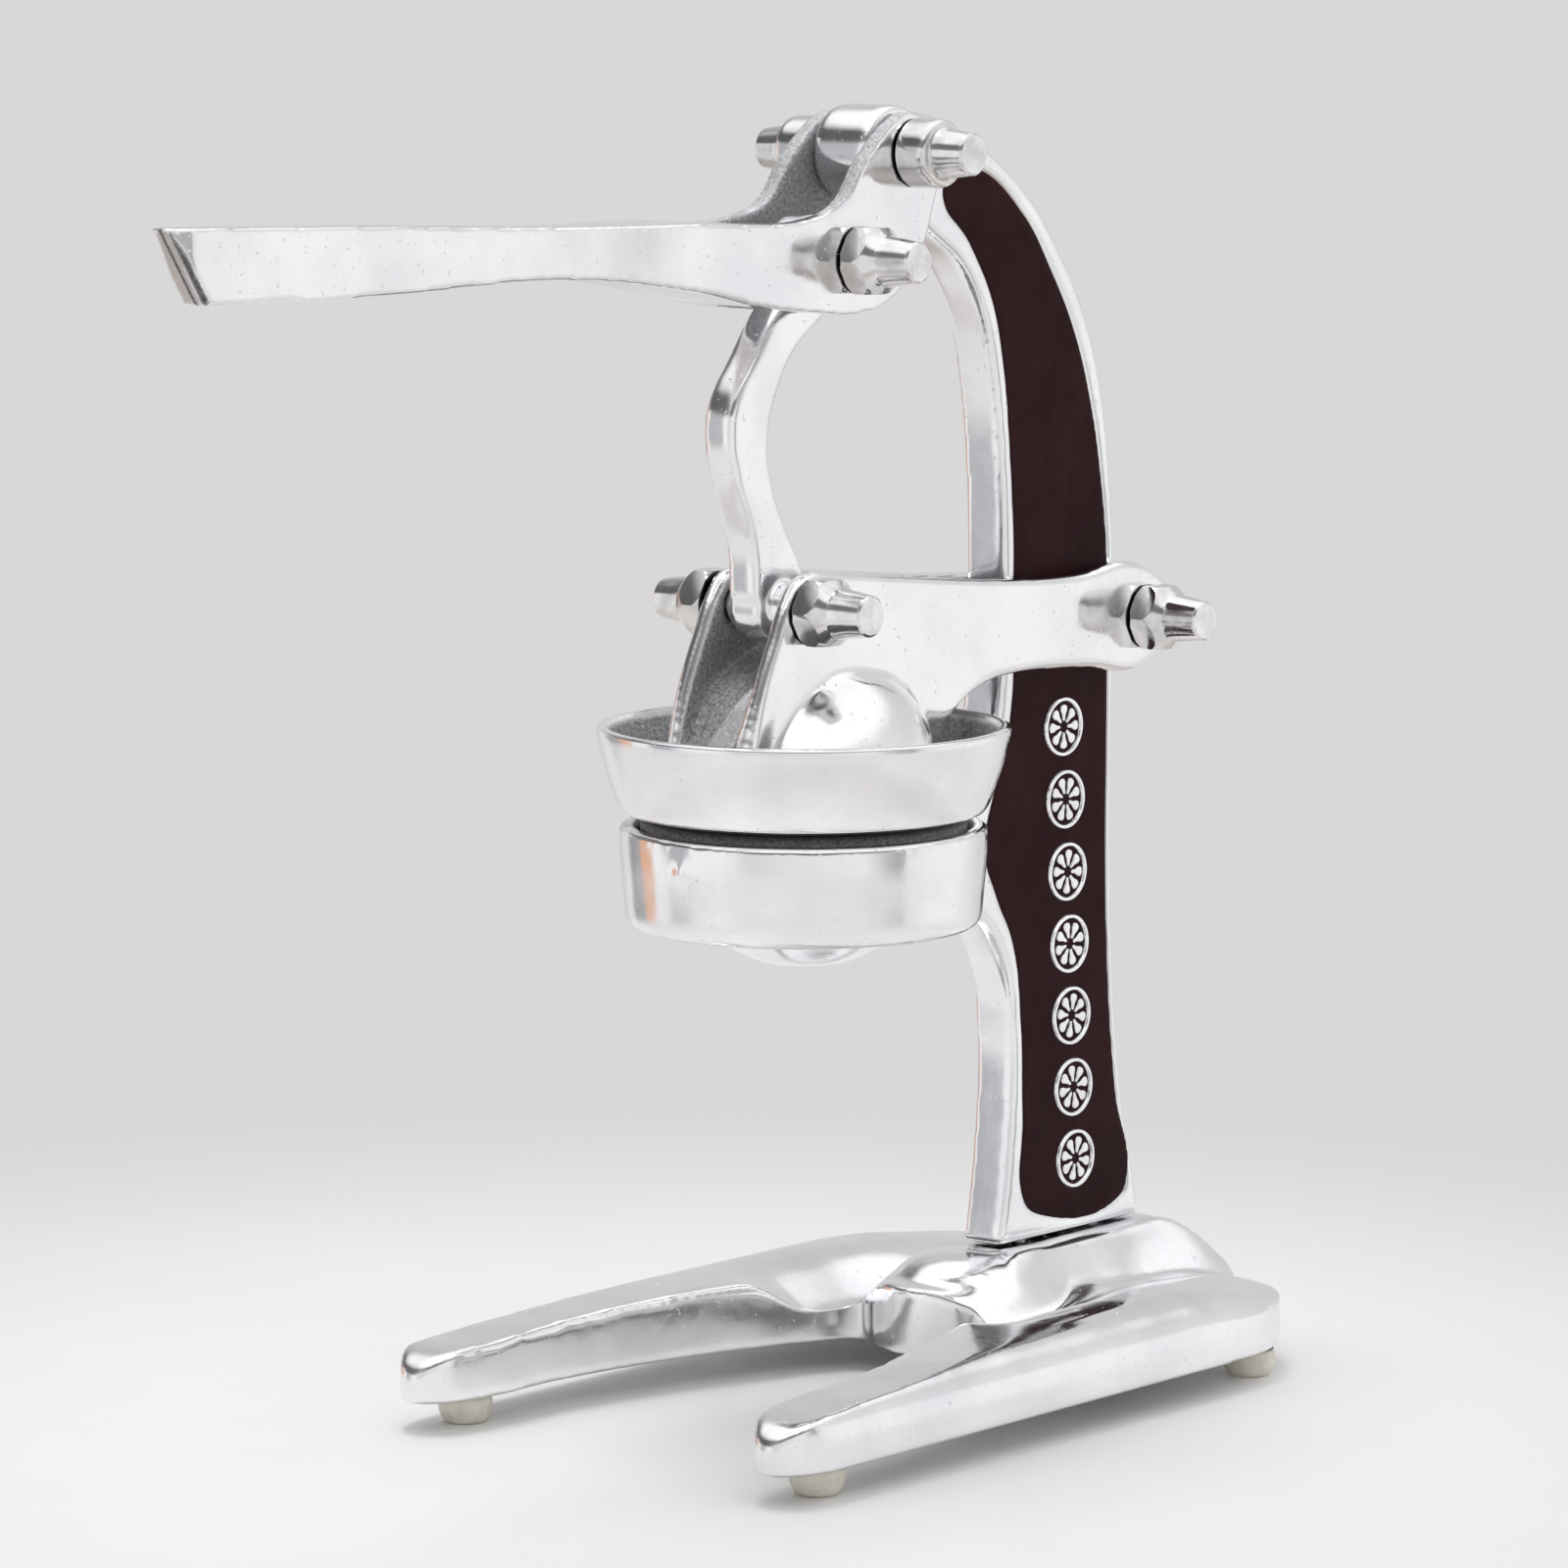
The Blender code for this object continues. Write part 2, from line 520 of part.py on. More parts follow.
def make_column():
    half = COLUMN_THICKNESS / 2
    column = side_prism("column_casting", COLUMN_OUTLINE, -half, half)
    boss = COLUMN_BOSS_HALF_WIDTH
    inside = RING_LEDGE_RADIUS - 1.0
    ring = turned("bowl_ring", [
        (RING_TOP_RADIUS, RING_TOP_Z), (RING_BOTTOM_RADIUS, RING_BOTTOM_Z), (inside, RING_BOTTOM_Z),
        (inside, RING_TOP_Z),
    ], closed=True)
    boolean(column, "UNION", [
        ring,
        cross_rod("handle_boss", COLUMN_BOSS_RADIUS, -boss, boss, PIVOT_HANDLE),
        cross_rod("arm_lug", COLUMN_LUG_RADIUS, -boss, boss, PIVOT_ARM),
    ])
    floor = half - PANEL_DEPTH
    right_recess = panel_pieces("recess_right", floor, half + 1.0, 0.0)
    left_recess = panel_pieces("recess_left", -half - 1.0, -floor, 0.0)
    boolean(column, "DIFFERENCE", [right_recess, left_recess])
    discs = []
    for at in medallion_places():
        discs.append(cross_rod("medallion_disc", MEDALLION_RADIUS, -half, half, at, 20))
    boolean(column, "UNION", discs)
    bore_top = RING_TOP_Z + 10.0
    ledge_top = RING_BOTTOM_Z + RING_LEDGE_THICKNESS
    bore_low = RING_BOTTOM_Z - 10.0
    cuts = [
        turned("ring_bore", [
            (0.0, bore_top), (RING_BORE_RADIUS, bore_top), (RING_BORE_RADIUS, ledge_top),
            (RING_LEDGE_RADIUS, ledge_top), (RING_LEDGE_RADIUS, bore_low), (0.0, bore_low),
        ]),
        pin_bore("handle_pin_hole", PIVOT_HANDLE),
        pin_bore("arm_pin_hole", PIVOT_ARM),
    ]
    for y in BOLT_YS:
        cuts.append(upright_rod("bolt_hole", BOLT_RADIUS + GAP, BASE_BOTTOM_Z, BOLT_HOLE_TOP_Z, (0.0, y)))
    boolean(column, "DIFFERENCE", cuts)
    return finish(column, CAST)


def make_inlays():
    floor = COLUMN_THICKNESS / 2 - PANEL_DEPTH + GAP / 2
    for side, sign in (("left", -1), ("right", 1)):
        low, high = sorted((sign * floor, sign * (floor + INLAY_THICKNESS)))
        inlay = panel_pieces("enamel_inlay_" + side, low, high, GAP)
        holes = []
        for at in medallion_places():
            holes.append(cross_rod("inlay_hole", MEDALLION_RADIUS + GAP, low - 1.0, high + 1.0, at, 20))
        boolean(inlay, "DIFFERENCE", holes)
        finish(inlay, ENAMEL)


# --- bowl, strainer and funnel ----------------------------------------------------------------------------


def funnel_top_z():
    return RING_BOTTOM_Z + RING_LEDGE_THICKNESS + GAP + FUNNEL_FLANGE_THICKNESS


def make_funnel():
    flange = RING_BORE_RADIUS - GAP
    low = funnel_top_z() - FUNNEL_FLANGE_THICKNESS
    neck = FUNNEL_NECK_RADIUS
    wall = FUNNEL_WALL
    dish = FUNNEL_BOTTOM_RADIUS
    dish_z = FUNNEL_BOTTOM_Z + 0.4
    curve_z = FUNNEL_BOTTOM_Z + 2.5
    funnel = turned("drip_funnel", [
        (flange, funnel_top_z()), (flange, low), (neck, low), (neck - 3.0, RING_BOTTOM_Z),
        (dish + 6.0, curve_z), (dish, dish_z), (FUNNEL_OUTLET_RADIUS + wall, FUNNEL_BOTTOM_Z),
        (FUNNEL_OUTLET_RADIUS, FUNNEL_BOTTOM_Z), (FUNNEL_OUTLET_RADIUS, FUNNEL_BOTTOM_Z + wall),
        (dish, dish_z + wall), (dish + 5.0, curve_z + wall), (neck - 5.0, RING_BOTTOM_Z + wall),
        (neck - wall, low + 1.0), (neck - wall, funnel_top_z()),
    ], closed=True)
    finish(funnel, CAST)


def bowl_floor_z():
    return funnel_top_z() + GAP


def make_bowl():
    spigot = BOWL_SPIGOT_RADIUS
    wall = BOWL_WALL
    floor = bowl_floor_z()
    inside = floor + BOWL_FLOOR_THICKNESS
    rim = BOWL_RIM_RADIUS
    upper = rim - 1.0
    lower = rim - 3.2
    foot = BOWL_SHOULDER_RADIUS + 2.6
    bowl = turned("upper_bowl", [
        (rim - 1.0, BOWL_RIM_Z), (rim, BOWL_RIM_Z - 1.0), (upper, BOWL_RIM_Z - 7.0),
        (lower, BOWL_RIM_Z - 14.0), (foot, BOWL_SHOULDER_Z + 3.0),
        (BOWL_SHOULDER_RADIUS, BOWL_SHOULDER_Z), (spigot, BOWL_SHOULDER_Z),
        (spigot, floor), (BOWL_OUTLET_RADIUS, floor), (BOWL_OUTLET_RADIUS, inside), (spigot - wall, inside),
        (spigot - wall + 0.3, BOWL_SHOULDER_Z - 4.0), (foot - wall, BOWL_SHOULDER_Z + 3.5),
        (lower - wall, BOWL_RIM_Z - 13.5), (upper - wall, BOWL_RIM_Z - 6.0), (rim - wall, BOWL_RIM_Z),
    ], closed=True, steps=40)
    finish(bowl, CAST)


def make_strainer():
    edge = BOWL_SPIGOT_RADIUS - BOWL_WALL - GAP
    low = bowl_floor_z() + BOWL_FLOOR_THICKNESS + GAP
    thick = STRAINER_THICKNESS
    shoulder_z = STRAINER_TOP_Z - 3.5
    inner_top = shoulder_z - thick
    wall = thick + 0.2
    strainer = turned("strainer_cone", [
        (0.0, STRAINER_TOP_Z), (STRAINER_TOP_RADIUS * 0.6, STRAINER_TOP_Z - 0.8),
        (STRAINER_TOP_RADIUS, shoulder_z), (STRAINER_BASE_RADIUS, low + thick), (edge, low + thick),
        (edge, low), (STRAINER_BASE_RADIUS - wall, low), (STRAINER_TOP_RADIUS - wall, inner_top),
        (0.0, inner_top),
    ])
    holes = []
    for radius, shift in ((STRAINER_BASE_RADIUS + 5.0, 0.0), (STRAINER_BASE_RADIUS - 5.0, 0.5)):
        for i in range(STRAINER_HOLES):
            turn = (i + shift) * math.tau / STRAINER_HOLES
            at = (radius * math.cos(turn), radius * math.sin(turn))
            holes.append(upright_rod("hole", STRAINER_HOLE_RADIUS, low - thick, STRAINER_TOP_Z, at, 8))
    boolean(strainer, "DIFFERENCE", holes)
    finish(strainer, SHEET)


# --- linkage ----------------------------------------------------------------------------------------------


def make_handle():
    wide = FORK_HALF_WIDTH
    handle = side_prism("lever_handle", HANDLE_OUTLINE, -wide, wide)
    slim = HANDLE_HALF_WIDTH
    tip = HANDLE_TIP_Y
    fork_end = PIVOT_HANDLE[0] + 35.0
    z_low = PIVOT_HANDLE[1] - 55.0
    z_high = PIVOT_HANDLE[1] + 25.0
    plan = plan_prism("handle_plan", mirrored([
        (0.0, tip - 10.0), (slim, tip - 10.0), (slim, tip), (slim + 1.0, tip + 59.0, S),
        (slim + 1.3, tip + 119.0, S), (slim + 4.5, -92.0, S), (wide - 0.8, -62.0, S), (wide, -42.0, S),
        (wide, fork_end), (0.0, fork_end),
    ]), z_low, z_high)
    boolean(handle, "INTERSECT", [plan])
    gap = FORK_INNER_HALF_WIDTH
    root = HANDLE_FORK_ROOT_Y
    slot = plan_prism("fork_slot", mirrored([
        (0.0, root, S), (gap * 0.75, root + 3.5, S), (gap, root + 11.0), (gap, fork_end), (0.0, fork_end),
    ]), z_low - 1.0, z_high + 1.0)
    bores = [pin_bore("handle_bore", PIVOT_HANDLE), pin_bore("link_bore", PIVOT_LINK_TOP)]
    boolean(handle, "DIFFERENCE", [slot] + bores)
    finish(handle, CAST)
    return set_origin(handle, PIVOT_HANDLE)


def link_slot_ends():
    """The slot runs from the top pivot to the furthest place that the handle's pin takes in its stroke."""
    start = Vector(PIVOT_LINK_TOP)
    return start, start + Vector(LINK_SLOT_END)


def link_slot(name):
    """The open pivot of the linkage: a slot in the top eye, in which the handle's pin runs."""
    start, far = link_slot_ends()
    aside = (far - start).orthogonal().normalized() * LINK_SLOT_RADIUS
    corners = [tuple(start + aside), tuple(start - aside), tuple(far - aside), tuple(far + aside)]
    reach = LINK_HALF_THICKNESS + 10.0
    return [
        cross_rod(name, LINK_SLOT_RADIUS, -reach, reach, start, 20),
        cross_rod(name + "_far", LINK_SLOT_RADIUS, -reach - 2.0, reach + 2.0, far, 20),
        side_prism(name + "_run", corners, -reach - 1.0, reach + 1.0, 1),
    ]


def make_link():
    half = LINK_HALF_THICKNESS
    link = side_prism("c_link", LINK_OUTLINE, -half, half)
    eye = COLUMN_BOSS_HALF_WIDTH
    start, far = link_slot_ends()
    boolean(link, "UNION", [
        cross_rod("link_top_eye", LINK_TOP_EYE_RADIUS, -half, half, (start + far) / 2),
        cross_rod("link_foot_eye", LINK_FOOT_EYE_RADIUS, -eye, eye, PIVOT_LINK_FOOT),
    ])
    boolean(link, "DIFFERENCE", [pin_bore("link_foot_bore", PIVOT_LINK_FOOT)] + link_slot("link_slot"))
    finish(link, CAST)
    return set_origin(link, PIVOT_LINK_FOOT)


def bell_solid(name, radius, top, rim):
    """A domed solid of revolution, down to the rim."""
    rise = top - rim + 2.0
    profile = [(0.0, top)]
    for i in range(1, 9):
        turn = math.radians(90.0 * i / 8.2)
        profile.append((radius * math.sin(turn), top - rise * (1 - math.cos(turn))))
    return turned(name, profile + [(radius, rim), (0.0, rim)], steps=36)


def make_press_arm():
    wide = FORK_HALF_WIDTH
    inner = FORK_INNER_HALF_WIDTH
    bell = bell_solid("press_arm", BELL_RADIUS, BELL_TOP_Z, BELL_RIM_Z)
    boolean(bell, "UNION", [
        side_prism("arm_plate_right", ARM_OUTLINE, inner, wide),
        side_prism("arm_plate_left", ARM_OUTLINE, -wide, -inner),
        side_prism("arm_web", WEB_OUTLINE, -inner - 1.0, inner + 1.0),
    ])
    hollow = bell_solid("bell_hollow", BELL_RADIUS - BELL_WALL, BELL_TOP_Z - BELL_WALL, BELL_RIM_Z - 20.0)
    bores = [pin_bore("arm_foot_bore", PIVOT_LINK_FOOT), pin_bore("arm_rear_bore", PIVOT_ARM)]
    boolean(bell, "DIFFERENCE", [hollow] + bores)
    finish(bell, CAST)
    return set_origin(bell, PIVOT_ARM)


def make_pin(name, pivot):
    pin = cross_rod(name, PIN_RADIUS, -PIN_HALF_LENGTH, PIN_HALF_LENGTH, (0.0, 0.0), 16)
    pin.location = (0.0, pivot[0] * MM, pivot[1] * MM)
    finish(pin, STEEL)


def make_nut(name, pivot, sign):
    """A hexagonal bar turned to a taper, closed at its outer end and bored for the pin's end."""
    face = FORK_HALF_WIDTH + GAP
    end = face + NUT_LENGTH
    hex_end = face + NUT_HEX_LENGTH
    nut = cross_rod(name, NUT_CORNER_RADIUS, face, end, (0.0, 0.0), 6)
    profile = [
        (0.0, end), (NUT_END_RADIUS - 0.4, end), (NUT_END_RADIUS, end - 0.5),
        (NUT_END_RADIUS + 1.2, end - 7.5),
        (NUT_CORNER_RADIUS - 0.6, hex_end), (NUT_CORNER_RADIUS + 0.5, hex_end - 3.0),
        (NUT_CORNER_RADIUS + 0.5, face + 1.2), (NUT_CORNER_RADIUS - 0.9, face - 0.5), (0.0, face - 0.5),
    ]
    taper = turned(name + "_taper", profile, steps=18)
    taper.rotation_euler = (0.0, math.radians(90), 0.0)
    bore_end = PIN_HALF_LENGTH + GAP
    bore = cross_rod(name + "_bore", PIN_RADIUS + GAP, face - 2.0, bore_end, (0.0, 0.0), 16)
    boolean(nut, "INTERSECT", [taper])
    boolean(nut, "DIFFERENCE", [bore])
    finish(nut, STEEL)
    if sign < 0:
        nut.data.transform(Matrix.Rotation(math.radians(180), 4, "Z"))
    nut.location = (0.0, pivot[0] * MM, pivot[1] * MM)
    return nut


def make_pivots():
    pivots = {
        "handle": PIVOT_HANDLE,
        "link_top": PIVOT_LINK_TOP,
        "link_foot": PIVOT_LINK_FOOT,
        "arm": PIVOT_ARM,
    }
    for place_name, pivot in pivots.items():
        make_pin("pin_" + place_name, pivot)
        make_nut("nut_" + place_name + "_left", pivot, -1)
        make_nut("nut_" + place_name + "_right", pivot, 1)


# --- whole press ------------------------------------------------------------------------------------------


def move_origin_to_bottom_centre():
    """The cutters have been applied, and move along only so that they still lie in their pieces."""
    bpy.context.view_layer.update()
    corners = [obj.matrix_world @ vert.co for obj in PARTS.objects for vert in obj.data.vertices]
    low = [min(corner[i] for corner in corners) for i in range(3)]
    high = [max(corner[i] for corner in corners) for i in range(3)]
    shift = Vector((-(low[0] + high[0]) / 2, -(low[1] + high[1]) / 2, -low[2]))
    for obj in PARTS.objects:
        obj.location += shift
    for obj in CUTTERS.objects:
        obj.location += shift


make_base()
make_feet()
make_column_bolts()
make_column()
make_inlays()
make_funnel()
make_bowl()
make_strainer()
make_handle()
make_link()
make_press_arm()
make_pivots()
move_origin_to_bottom_centre()
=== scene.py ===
"""Looks of the citrus press juicer: soft-edged castings, enamel, taper nuts and a plain studio.

Side outlines are lists of (y, z) in millimetres from the point on the table under the bowl's centre, as
the part was designed; BOWL_Y moves them into the frame. A knot with a third entry, S, is passed through
smoothly, and a knot of two is a corner.
"""

import json
import math

import bmesh
import bpy
import numpy as np
from mathutils import Matrix, Vector


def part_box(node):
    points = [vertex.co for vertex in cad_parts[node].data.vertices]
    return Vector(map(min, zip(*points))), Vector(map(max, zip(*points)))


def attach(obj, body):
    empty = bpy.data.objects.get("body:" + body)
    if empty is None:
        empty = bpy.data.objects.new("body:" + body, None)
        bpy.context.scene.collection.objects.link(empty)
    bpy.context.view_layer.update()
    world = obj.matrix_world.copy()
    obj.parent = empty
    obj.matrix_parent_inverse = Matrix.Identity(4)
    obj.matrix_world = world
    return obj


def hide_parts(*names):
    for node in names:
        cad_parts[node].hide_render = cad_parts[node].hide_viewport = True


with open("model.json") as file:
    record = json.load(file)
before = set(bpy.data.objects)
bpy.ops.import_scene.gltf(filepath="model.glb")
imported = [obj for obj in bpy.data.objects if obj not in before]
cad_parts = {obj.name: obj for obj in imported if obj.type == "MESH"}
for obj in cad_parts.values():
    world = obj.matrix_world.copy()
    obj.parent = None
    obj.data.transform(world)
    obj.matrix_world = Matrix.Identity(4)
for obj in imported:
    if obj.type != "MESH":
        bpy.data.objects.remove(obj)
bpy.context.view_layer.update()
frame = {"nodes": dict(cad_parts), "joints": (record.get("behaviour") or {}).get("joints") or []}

MM = 0.001
S = "smooth"
JOINTS = {joint["name"]: joint["pos_m"] for joint in frame["joints"]}
PIVOT_HANDLE = (27.3, JOINTS["handle_lift"][2] / MM)
BOWL_Y = JOINTS["handle_lift"][1] - PIVOT_HANDLE[0] * MM


def side_point(place):
    """A place in the frame, in metres, as (y, z) in the outlines' millimetres."""
    return ((place[1] - BOWL_Y) / MM, place[2] / MM)


def middle(node):
    """The centre of a CAD node's box, in metres."""
    low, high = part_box(node)
    return (low + high) / 2


PIVOT_LINK_TOP = side_point(middle("pin_link_top"))
PIVOT_LINK_FOOT = side_point(JOINTS["link_swing"])
PIVOT_ARM = side_point(JOINTS["arm_lift"])
RING_TOP = 164.0
RING_LOW = RING_TOP - 28.0
RING_BORE = 45.0
RING_FLOOR = 4.0
COLUMN_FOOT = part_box("column_casting")[0].z / MM
BASE_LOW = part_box("base_casting")[0].z / MM

PIN_RADIUS = 4.0
PIN_CLEARANCE = 0.3
PLATE_INNER = 10.5
PLATE_OUTER = 16.0
COLUMN_HALF = 7.5
BOSS_HALF = 9.8
LINK_HALF = 5.5
PANEL_DEPTH = 1.8
NUT_FACE = PLATE_OUTER + 0.3
NUT_END = NUT_FACE + 20.5
MEDALLION_COUNT = 7
MEDALLION_RADIUS = 8.6
SEGMENT_COUNT = 8
SIDES = (("right", 1), ("left", -1))

VOXEL = 0.8
FINE_VOXEL = VOXEL * 0.8
COARSE_VOXEL = VOXEL * 1.2

# --- mesh helpers ---


def above(level, knots):
    """Knots of (y, height above a level) as (y, z)."""
    return [(knot[0], level + knot[1], *knot[2:]) for knot in knots]


def keep(obj):
    """Puts an object in the scene."""
    bpy.context.scene.collection.objects.link(obj)
    return obj


def from_bmesh(name, shape):
    """A new object with the shape as its mesh."""
    mesh = bpy.data.meshes.new(name)
    shape.to_mesh(mesh)
    shape.free()
    return keep(bpy.data.objects.new(name, mesh))


def applied(obj):
    """The object with its modifiers made part of its mesh."""
    bpy.context.view_layer.update()
    graph = bpy.context.evaluated_depsgraph_get()
    mesh = bpy.data.meshes.new_from_object(obj.evaluated_get(graph))
    old = obj.data
    obj.modifiers.clear()
    obj.data = mesh
    mesh.name = obj.name
    if old.users == 0:
        bpy.data.meshes.remove(old)
    return obj


def outline(name, knots, half_thickness, rounding=0.0, steps=12, round_steps=3, grow=0.0):
    """A flat closed Bezier outline, thickened both ways with rounded rims, as a closed mesh."""
    data = bpy.data.curves.new(name, "CURVE")
    data.dimensions = "2D"
    data.fill_mode = "BOTH"
    data.extrude = (half_thickness - rounding) * MM
    data.bevel_depth = rounding * MM
    data.bevel_resolution = round_steps
    data.offset = (grow - rounding) * MM
    data.resolution_u = steps
    spline = data.splines.new("BEZIER")
    spline.bezier_points.add(len(knots) - 1)
    for point, knot in zip(spline.bezier_points, knots):
        point.co = (knot[0] * MM, knot[1] * MM, 0.0)
        point.handle_left_type = "AUTO" if len(knot) == 3 else "VECTOR"
        point.handle_right_type = point.handle_left_type
    spline.use_cyclic_u = True
    curve = keep(bpy.data.objects.new(name + "_curve", data))
    bpy.context.view_layer.update()
    graph = bpy.context.evaluated_depsgraph_get()
    mesh = bpy.data.meshes.new_from_object(curve.evaluated_get(graph))
    bpy.data.objects.remove(curve, do_unlink=True)
    bpy.data.curves.remove(data)
    shape = bmesh.new()
    shape.from_mesh(mesh)
    bpy.data.meshes.remove(mesh)
    bmesh.ops.remove_doubles(shape, verts=shape.verts, dist=1e-5)
    bmesh.ops.recalc_face_normals(shape, faces=shape.faces)
    return shape


def side_solid(name, knots, x_low, x_high, rounding=0.0, **more):
    """An outline of (y, z) knots, solid from x_low to x_high, in the frame's place."""
    shape = outline(name, knots, (x_high - x_low) / 2, rounding, **more)
    middle_x = (x_low + x_high) / 2 * MM
    turn = Matrix(((0, 0, 1, middle_x), (1, 0, 0, BOWL_Y), (0, 1, 0, 0), (0, 0, 0, 1)))
    bmesh.ops.transform(shape, matrix=turn, verts=shape.verts)
    return from_bmesh(name, shape)


def front_solid(name, knots, y_low, y_high, rounding=0.0, **more):
    """An outline of (x, z) knots, solid from y_low to y_high, in the frame's place."""
    shape = outline(name, knots, (y_high - y_low) / 2, rounding, **more)
    middle_y = (y_low + y_high) / 2 * MM + BOWL_Y
    turn = Matrix(((1, 0, 0, 0), (0, 0, -1, middle_y), (0, 1, 0, 0), (0, 0, 0, 1)))
    bmesh.ops.transform(shape, matrix=turn, verts=shape.verts)
    return from_bmesh(name, shape)


def plan_solid(name, knots, z_low, z_high, rounding=0.0, **more):
    """An outline of (x, y) knots, solid from z_low to z_high, in the frame's place."""
    shape = outline(name, knots, (z_high - z_low) / 2, rounding, **more)
    bmesh.ops.translate(shape, vec=(0, BOWL_Y, (z_low + z_high) / 2 * MM), verts=shape.verts)
    return from_bmesh(name, shape)


def rod(radius, length, sides, turn):
    """A cylinder about the origin, as a bmesh."""
    shape = bmesh.new()
    bmesh.ops.create_cone(
        shape, cap_ends=True, segments=sides, radius1=radius * MM, radius2=radius * MM,
        depth=length * MM, matrix=turn,
    )
    return shape


def cross_rod(name, radius, x_low, x_high, at, sides=64):
    """A cylinder along X through the side view's point at = (y, z)."""
    shape = rod(radius, x_high - x_low, sides, Matrix.Rotation(math.radians(90), 4, "Y"))
    place = ((x_low + x_high) / 2 * MM, at[0] * MM + BOWL_Y, at[1] * MM)
    bmesh.ops.translate(shape, vec=place, verts=shape.verts)
    return from_bmesh(name, shape)


def upright_rod(name, radius, z_low, z_high, at, sides=48):
    """A cylinder along Z through the plan's point at = (x, y)."""
    shape = rod(radius, z_high - z_low, sides, Matrix.Identity(4))
    place = (at[0] * MM, at[1] * MM + BOWL_Y, (z_low + z_high) / 2 * MM)
    bmesh.ops.translate(shape, vec=place, verts=shape.verts)
    return from_bmesh(name, shape)


def catmull_rom(a, b, c, d, t):
    """The value at t, from 0 to 1, on the way from b to c, with a before them and d after them."""
    square = 2 * a - 5 * b + 4 * c - d
    cube = 3 * b - a - 3 * c + d
    return 0.5 * (2 * b + (c - a) * t + square * t * t + cube * t ** 3)


def smooth_profile(profile, steps):
    """A smooth line through (radius, z, S) points; a point without S stays a corner."""
    made = []
    count = len(profile)
    for i in range(count - 1):
        one, two = profile[i], profile[i + 1]
        before = profile[i - 1] if i > 0 and len(one) == 3 else one
        after = profile[i + 2] if i + 2 < count and len(two) == 3 else two
        for step in range(steps):
            t = step / steps
            made.append(tuple(catmull_rom(before[k], one[k], two[k], after[k], t) for k in (0, 1)))
    return made + [tuple(profile[-1][:2])]


def turned(name, profile, at=(0.0, 0.0), around=96, steps=6, axis="Z"):
    """A closed profile of (radius, height) turned about Z at (x, y), or about X at (y, z)."""
    points = smooth_profile(profile, steps)
    if math.dist(points[0], points[-1]) < 1e-6:
        points.pop()
    shape = bmesh.new()
    rings = []
    for i in range(around):
        turn = math.tau * i / around
        rings.append([
            shape.verts.new((r * MM * math.cos(turn), r * MM * math.sin(turn), z * MM))
            for r, z in points
        ])
    for i in range(around):
        one, two = rings[i], rings[(i + 1) % around]
        for j in range(len(points)):
            k = (j + 1) % len(points)
            shape.faces.new((one[j], two[j], two[k], one[k]))
    bmesh.ops.remove_doubles(shape, verts=shape.verts, dist=1e-6)
    bmesh.ops.dissolve_degenerate(shape, edges=shape.edges, dist=1e-6)
    bmesh.ops.recalc_face_normals(shape, faces=shape.faces)
    if axis == "X":
        quarter = Matrix.Rotation(math.radians(90), 3, "Y")
        bmesh.ops.rotate(shape, cent=(0, 0, 0), matrix=quarter, verts=shape.verts)
        place = (0, at[0] * MM + BOWL_Y, at[1] * MM)
    else:
        place = (at[0] * MM, at[1] * MM + BOWL_Y, 0)
    bmesh.ops.translate(shape, vec=place, verts=shape.verts)
    return from_bmesh(name, shape)


def joined(name, parts):
    """Several closed shells as one mesh; a remesh makes one skin of those that overlap."""
    shape = bmesh.new()
    for part in parts:
        shape.from_mesh(part.data)
        bpy.data.objects.remove(part, do_unlink=True)
    return from_bmesh(name, shape)


def boolean(target, operation, cutters):
    """Applies one boolean after another; the cutters are used up."""
    for cutter in cutters:
        cut = target.modifiers.new(operation, "BOOLEAN")
        cut.solver = "MANIFOLD"
        cut.operation = operation
        cut.object = cutter
    applied(target)
    for cutter in cutters:
        bpy.data.objects.remove(cutter, do_unlink=True)
    return target


def remeshed(obj, voxel=VOXEL):
    """One even skin over all that overlaps."""
    skin = obj.modifiers.new("skin", "REMESH")
    skin.mode = "VOXEL"
    skin.voxel_size = voxel * MM
    return applied(obj)


def softened(obj, iterations):
    """The mesh with its edges worn round."""
    soft = obj.modifiers.new("soften", "SMOOTH")
    soft.factor = 0.5
    soft.iterations = iterations
    return applied(obj)


def places_of(mesh):
    """The vertices as an array of (x, y, z) in the outlines' millimetres."""
    places = np.empty(len(mesh.vertices) * 3, np.float32)
    mesh.vertices.foreach_get("co", places)
    places = places.reshape(-1, 3) / MM
    places[:, 1] -= BOWL_Y / MM
    return places


def reshaped(obj, move):
    """Moves every vertex by a rule from (x, y, z) to (x, y, z)."""
    places = np.column_stack(move(*places_of(obj.data).T)).astype(np.float32)
    places[:, 1] += BOWL_Y / MM
    obj.data.vertices.foreach_set("co", (places * MM).ravel())
    obj.data.update()
    return obj


def casting(obj, cutters, soften, voxel=VOXEL):
    """Fuses a casting's shapes into one skin, cuts it, and softens its edges as hand polishing does."""
    remeshed(obj, voxel)
    if cutters:
        boolean(obj, "DIFFERENCE", cutters)
        remeshed(obj, voxel)
    return softened(obj, soften)


def to_left(obj):
    """Mirrors an object made for the +X side."""
    obj.data.transform(Matrix.Scale(-1.0, 4, (1, 0, 0)))
    obj.data.flip_normals()
    return obj


def pin_bore(pivot):
    return cross_rod("bore", PIN_RADIUS + PIN_CLEARANCE, -30.0, 30.0, pivot)


def mirrored(half):
    """An outline that is symmetric about X = 0, from its +X half."""
    return half + [(-knot[0], *knot[1:]) for knot in reversed(half) if knot[0] > 0]


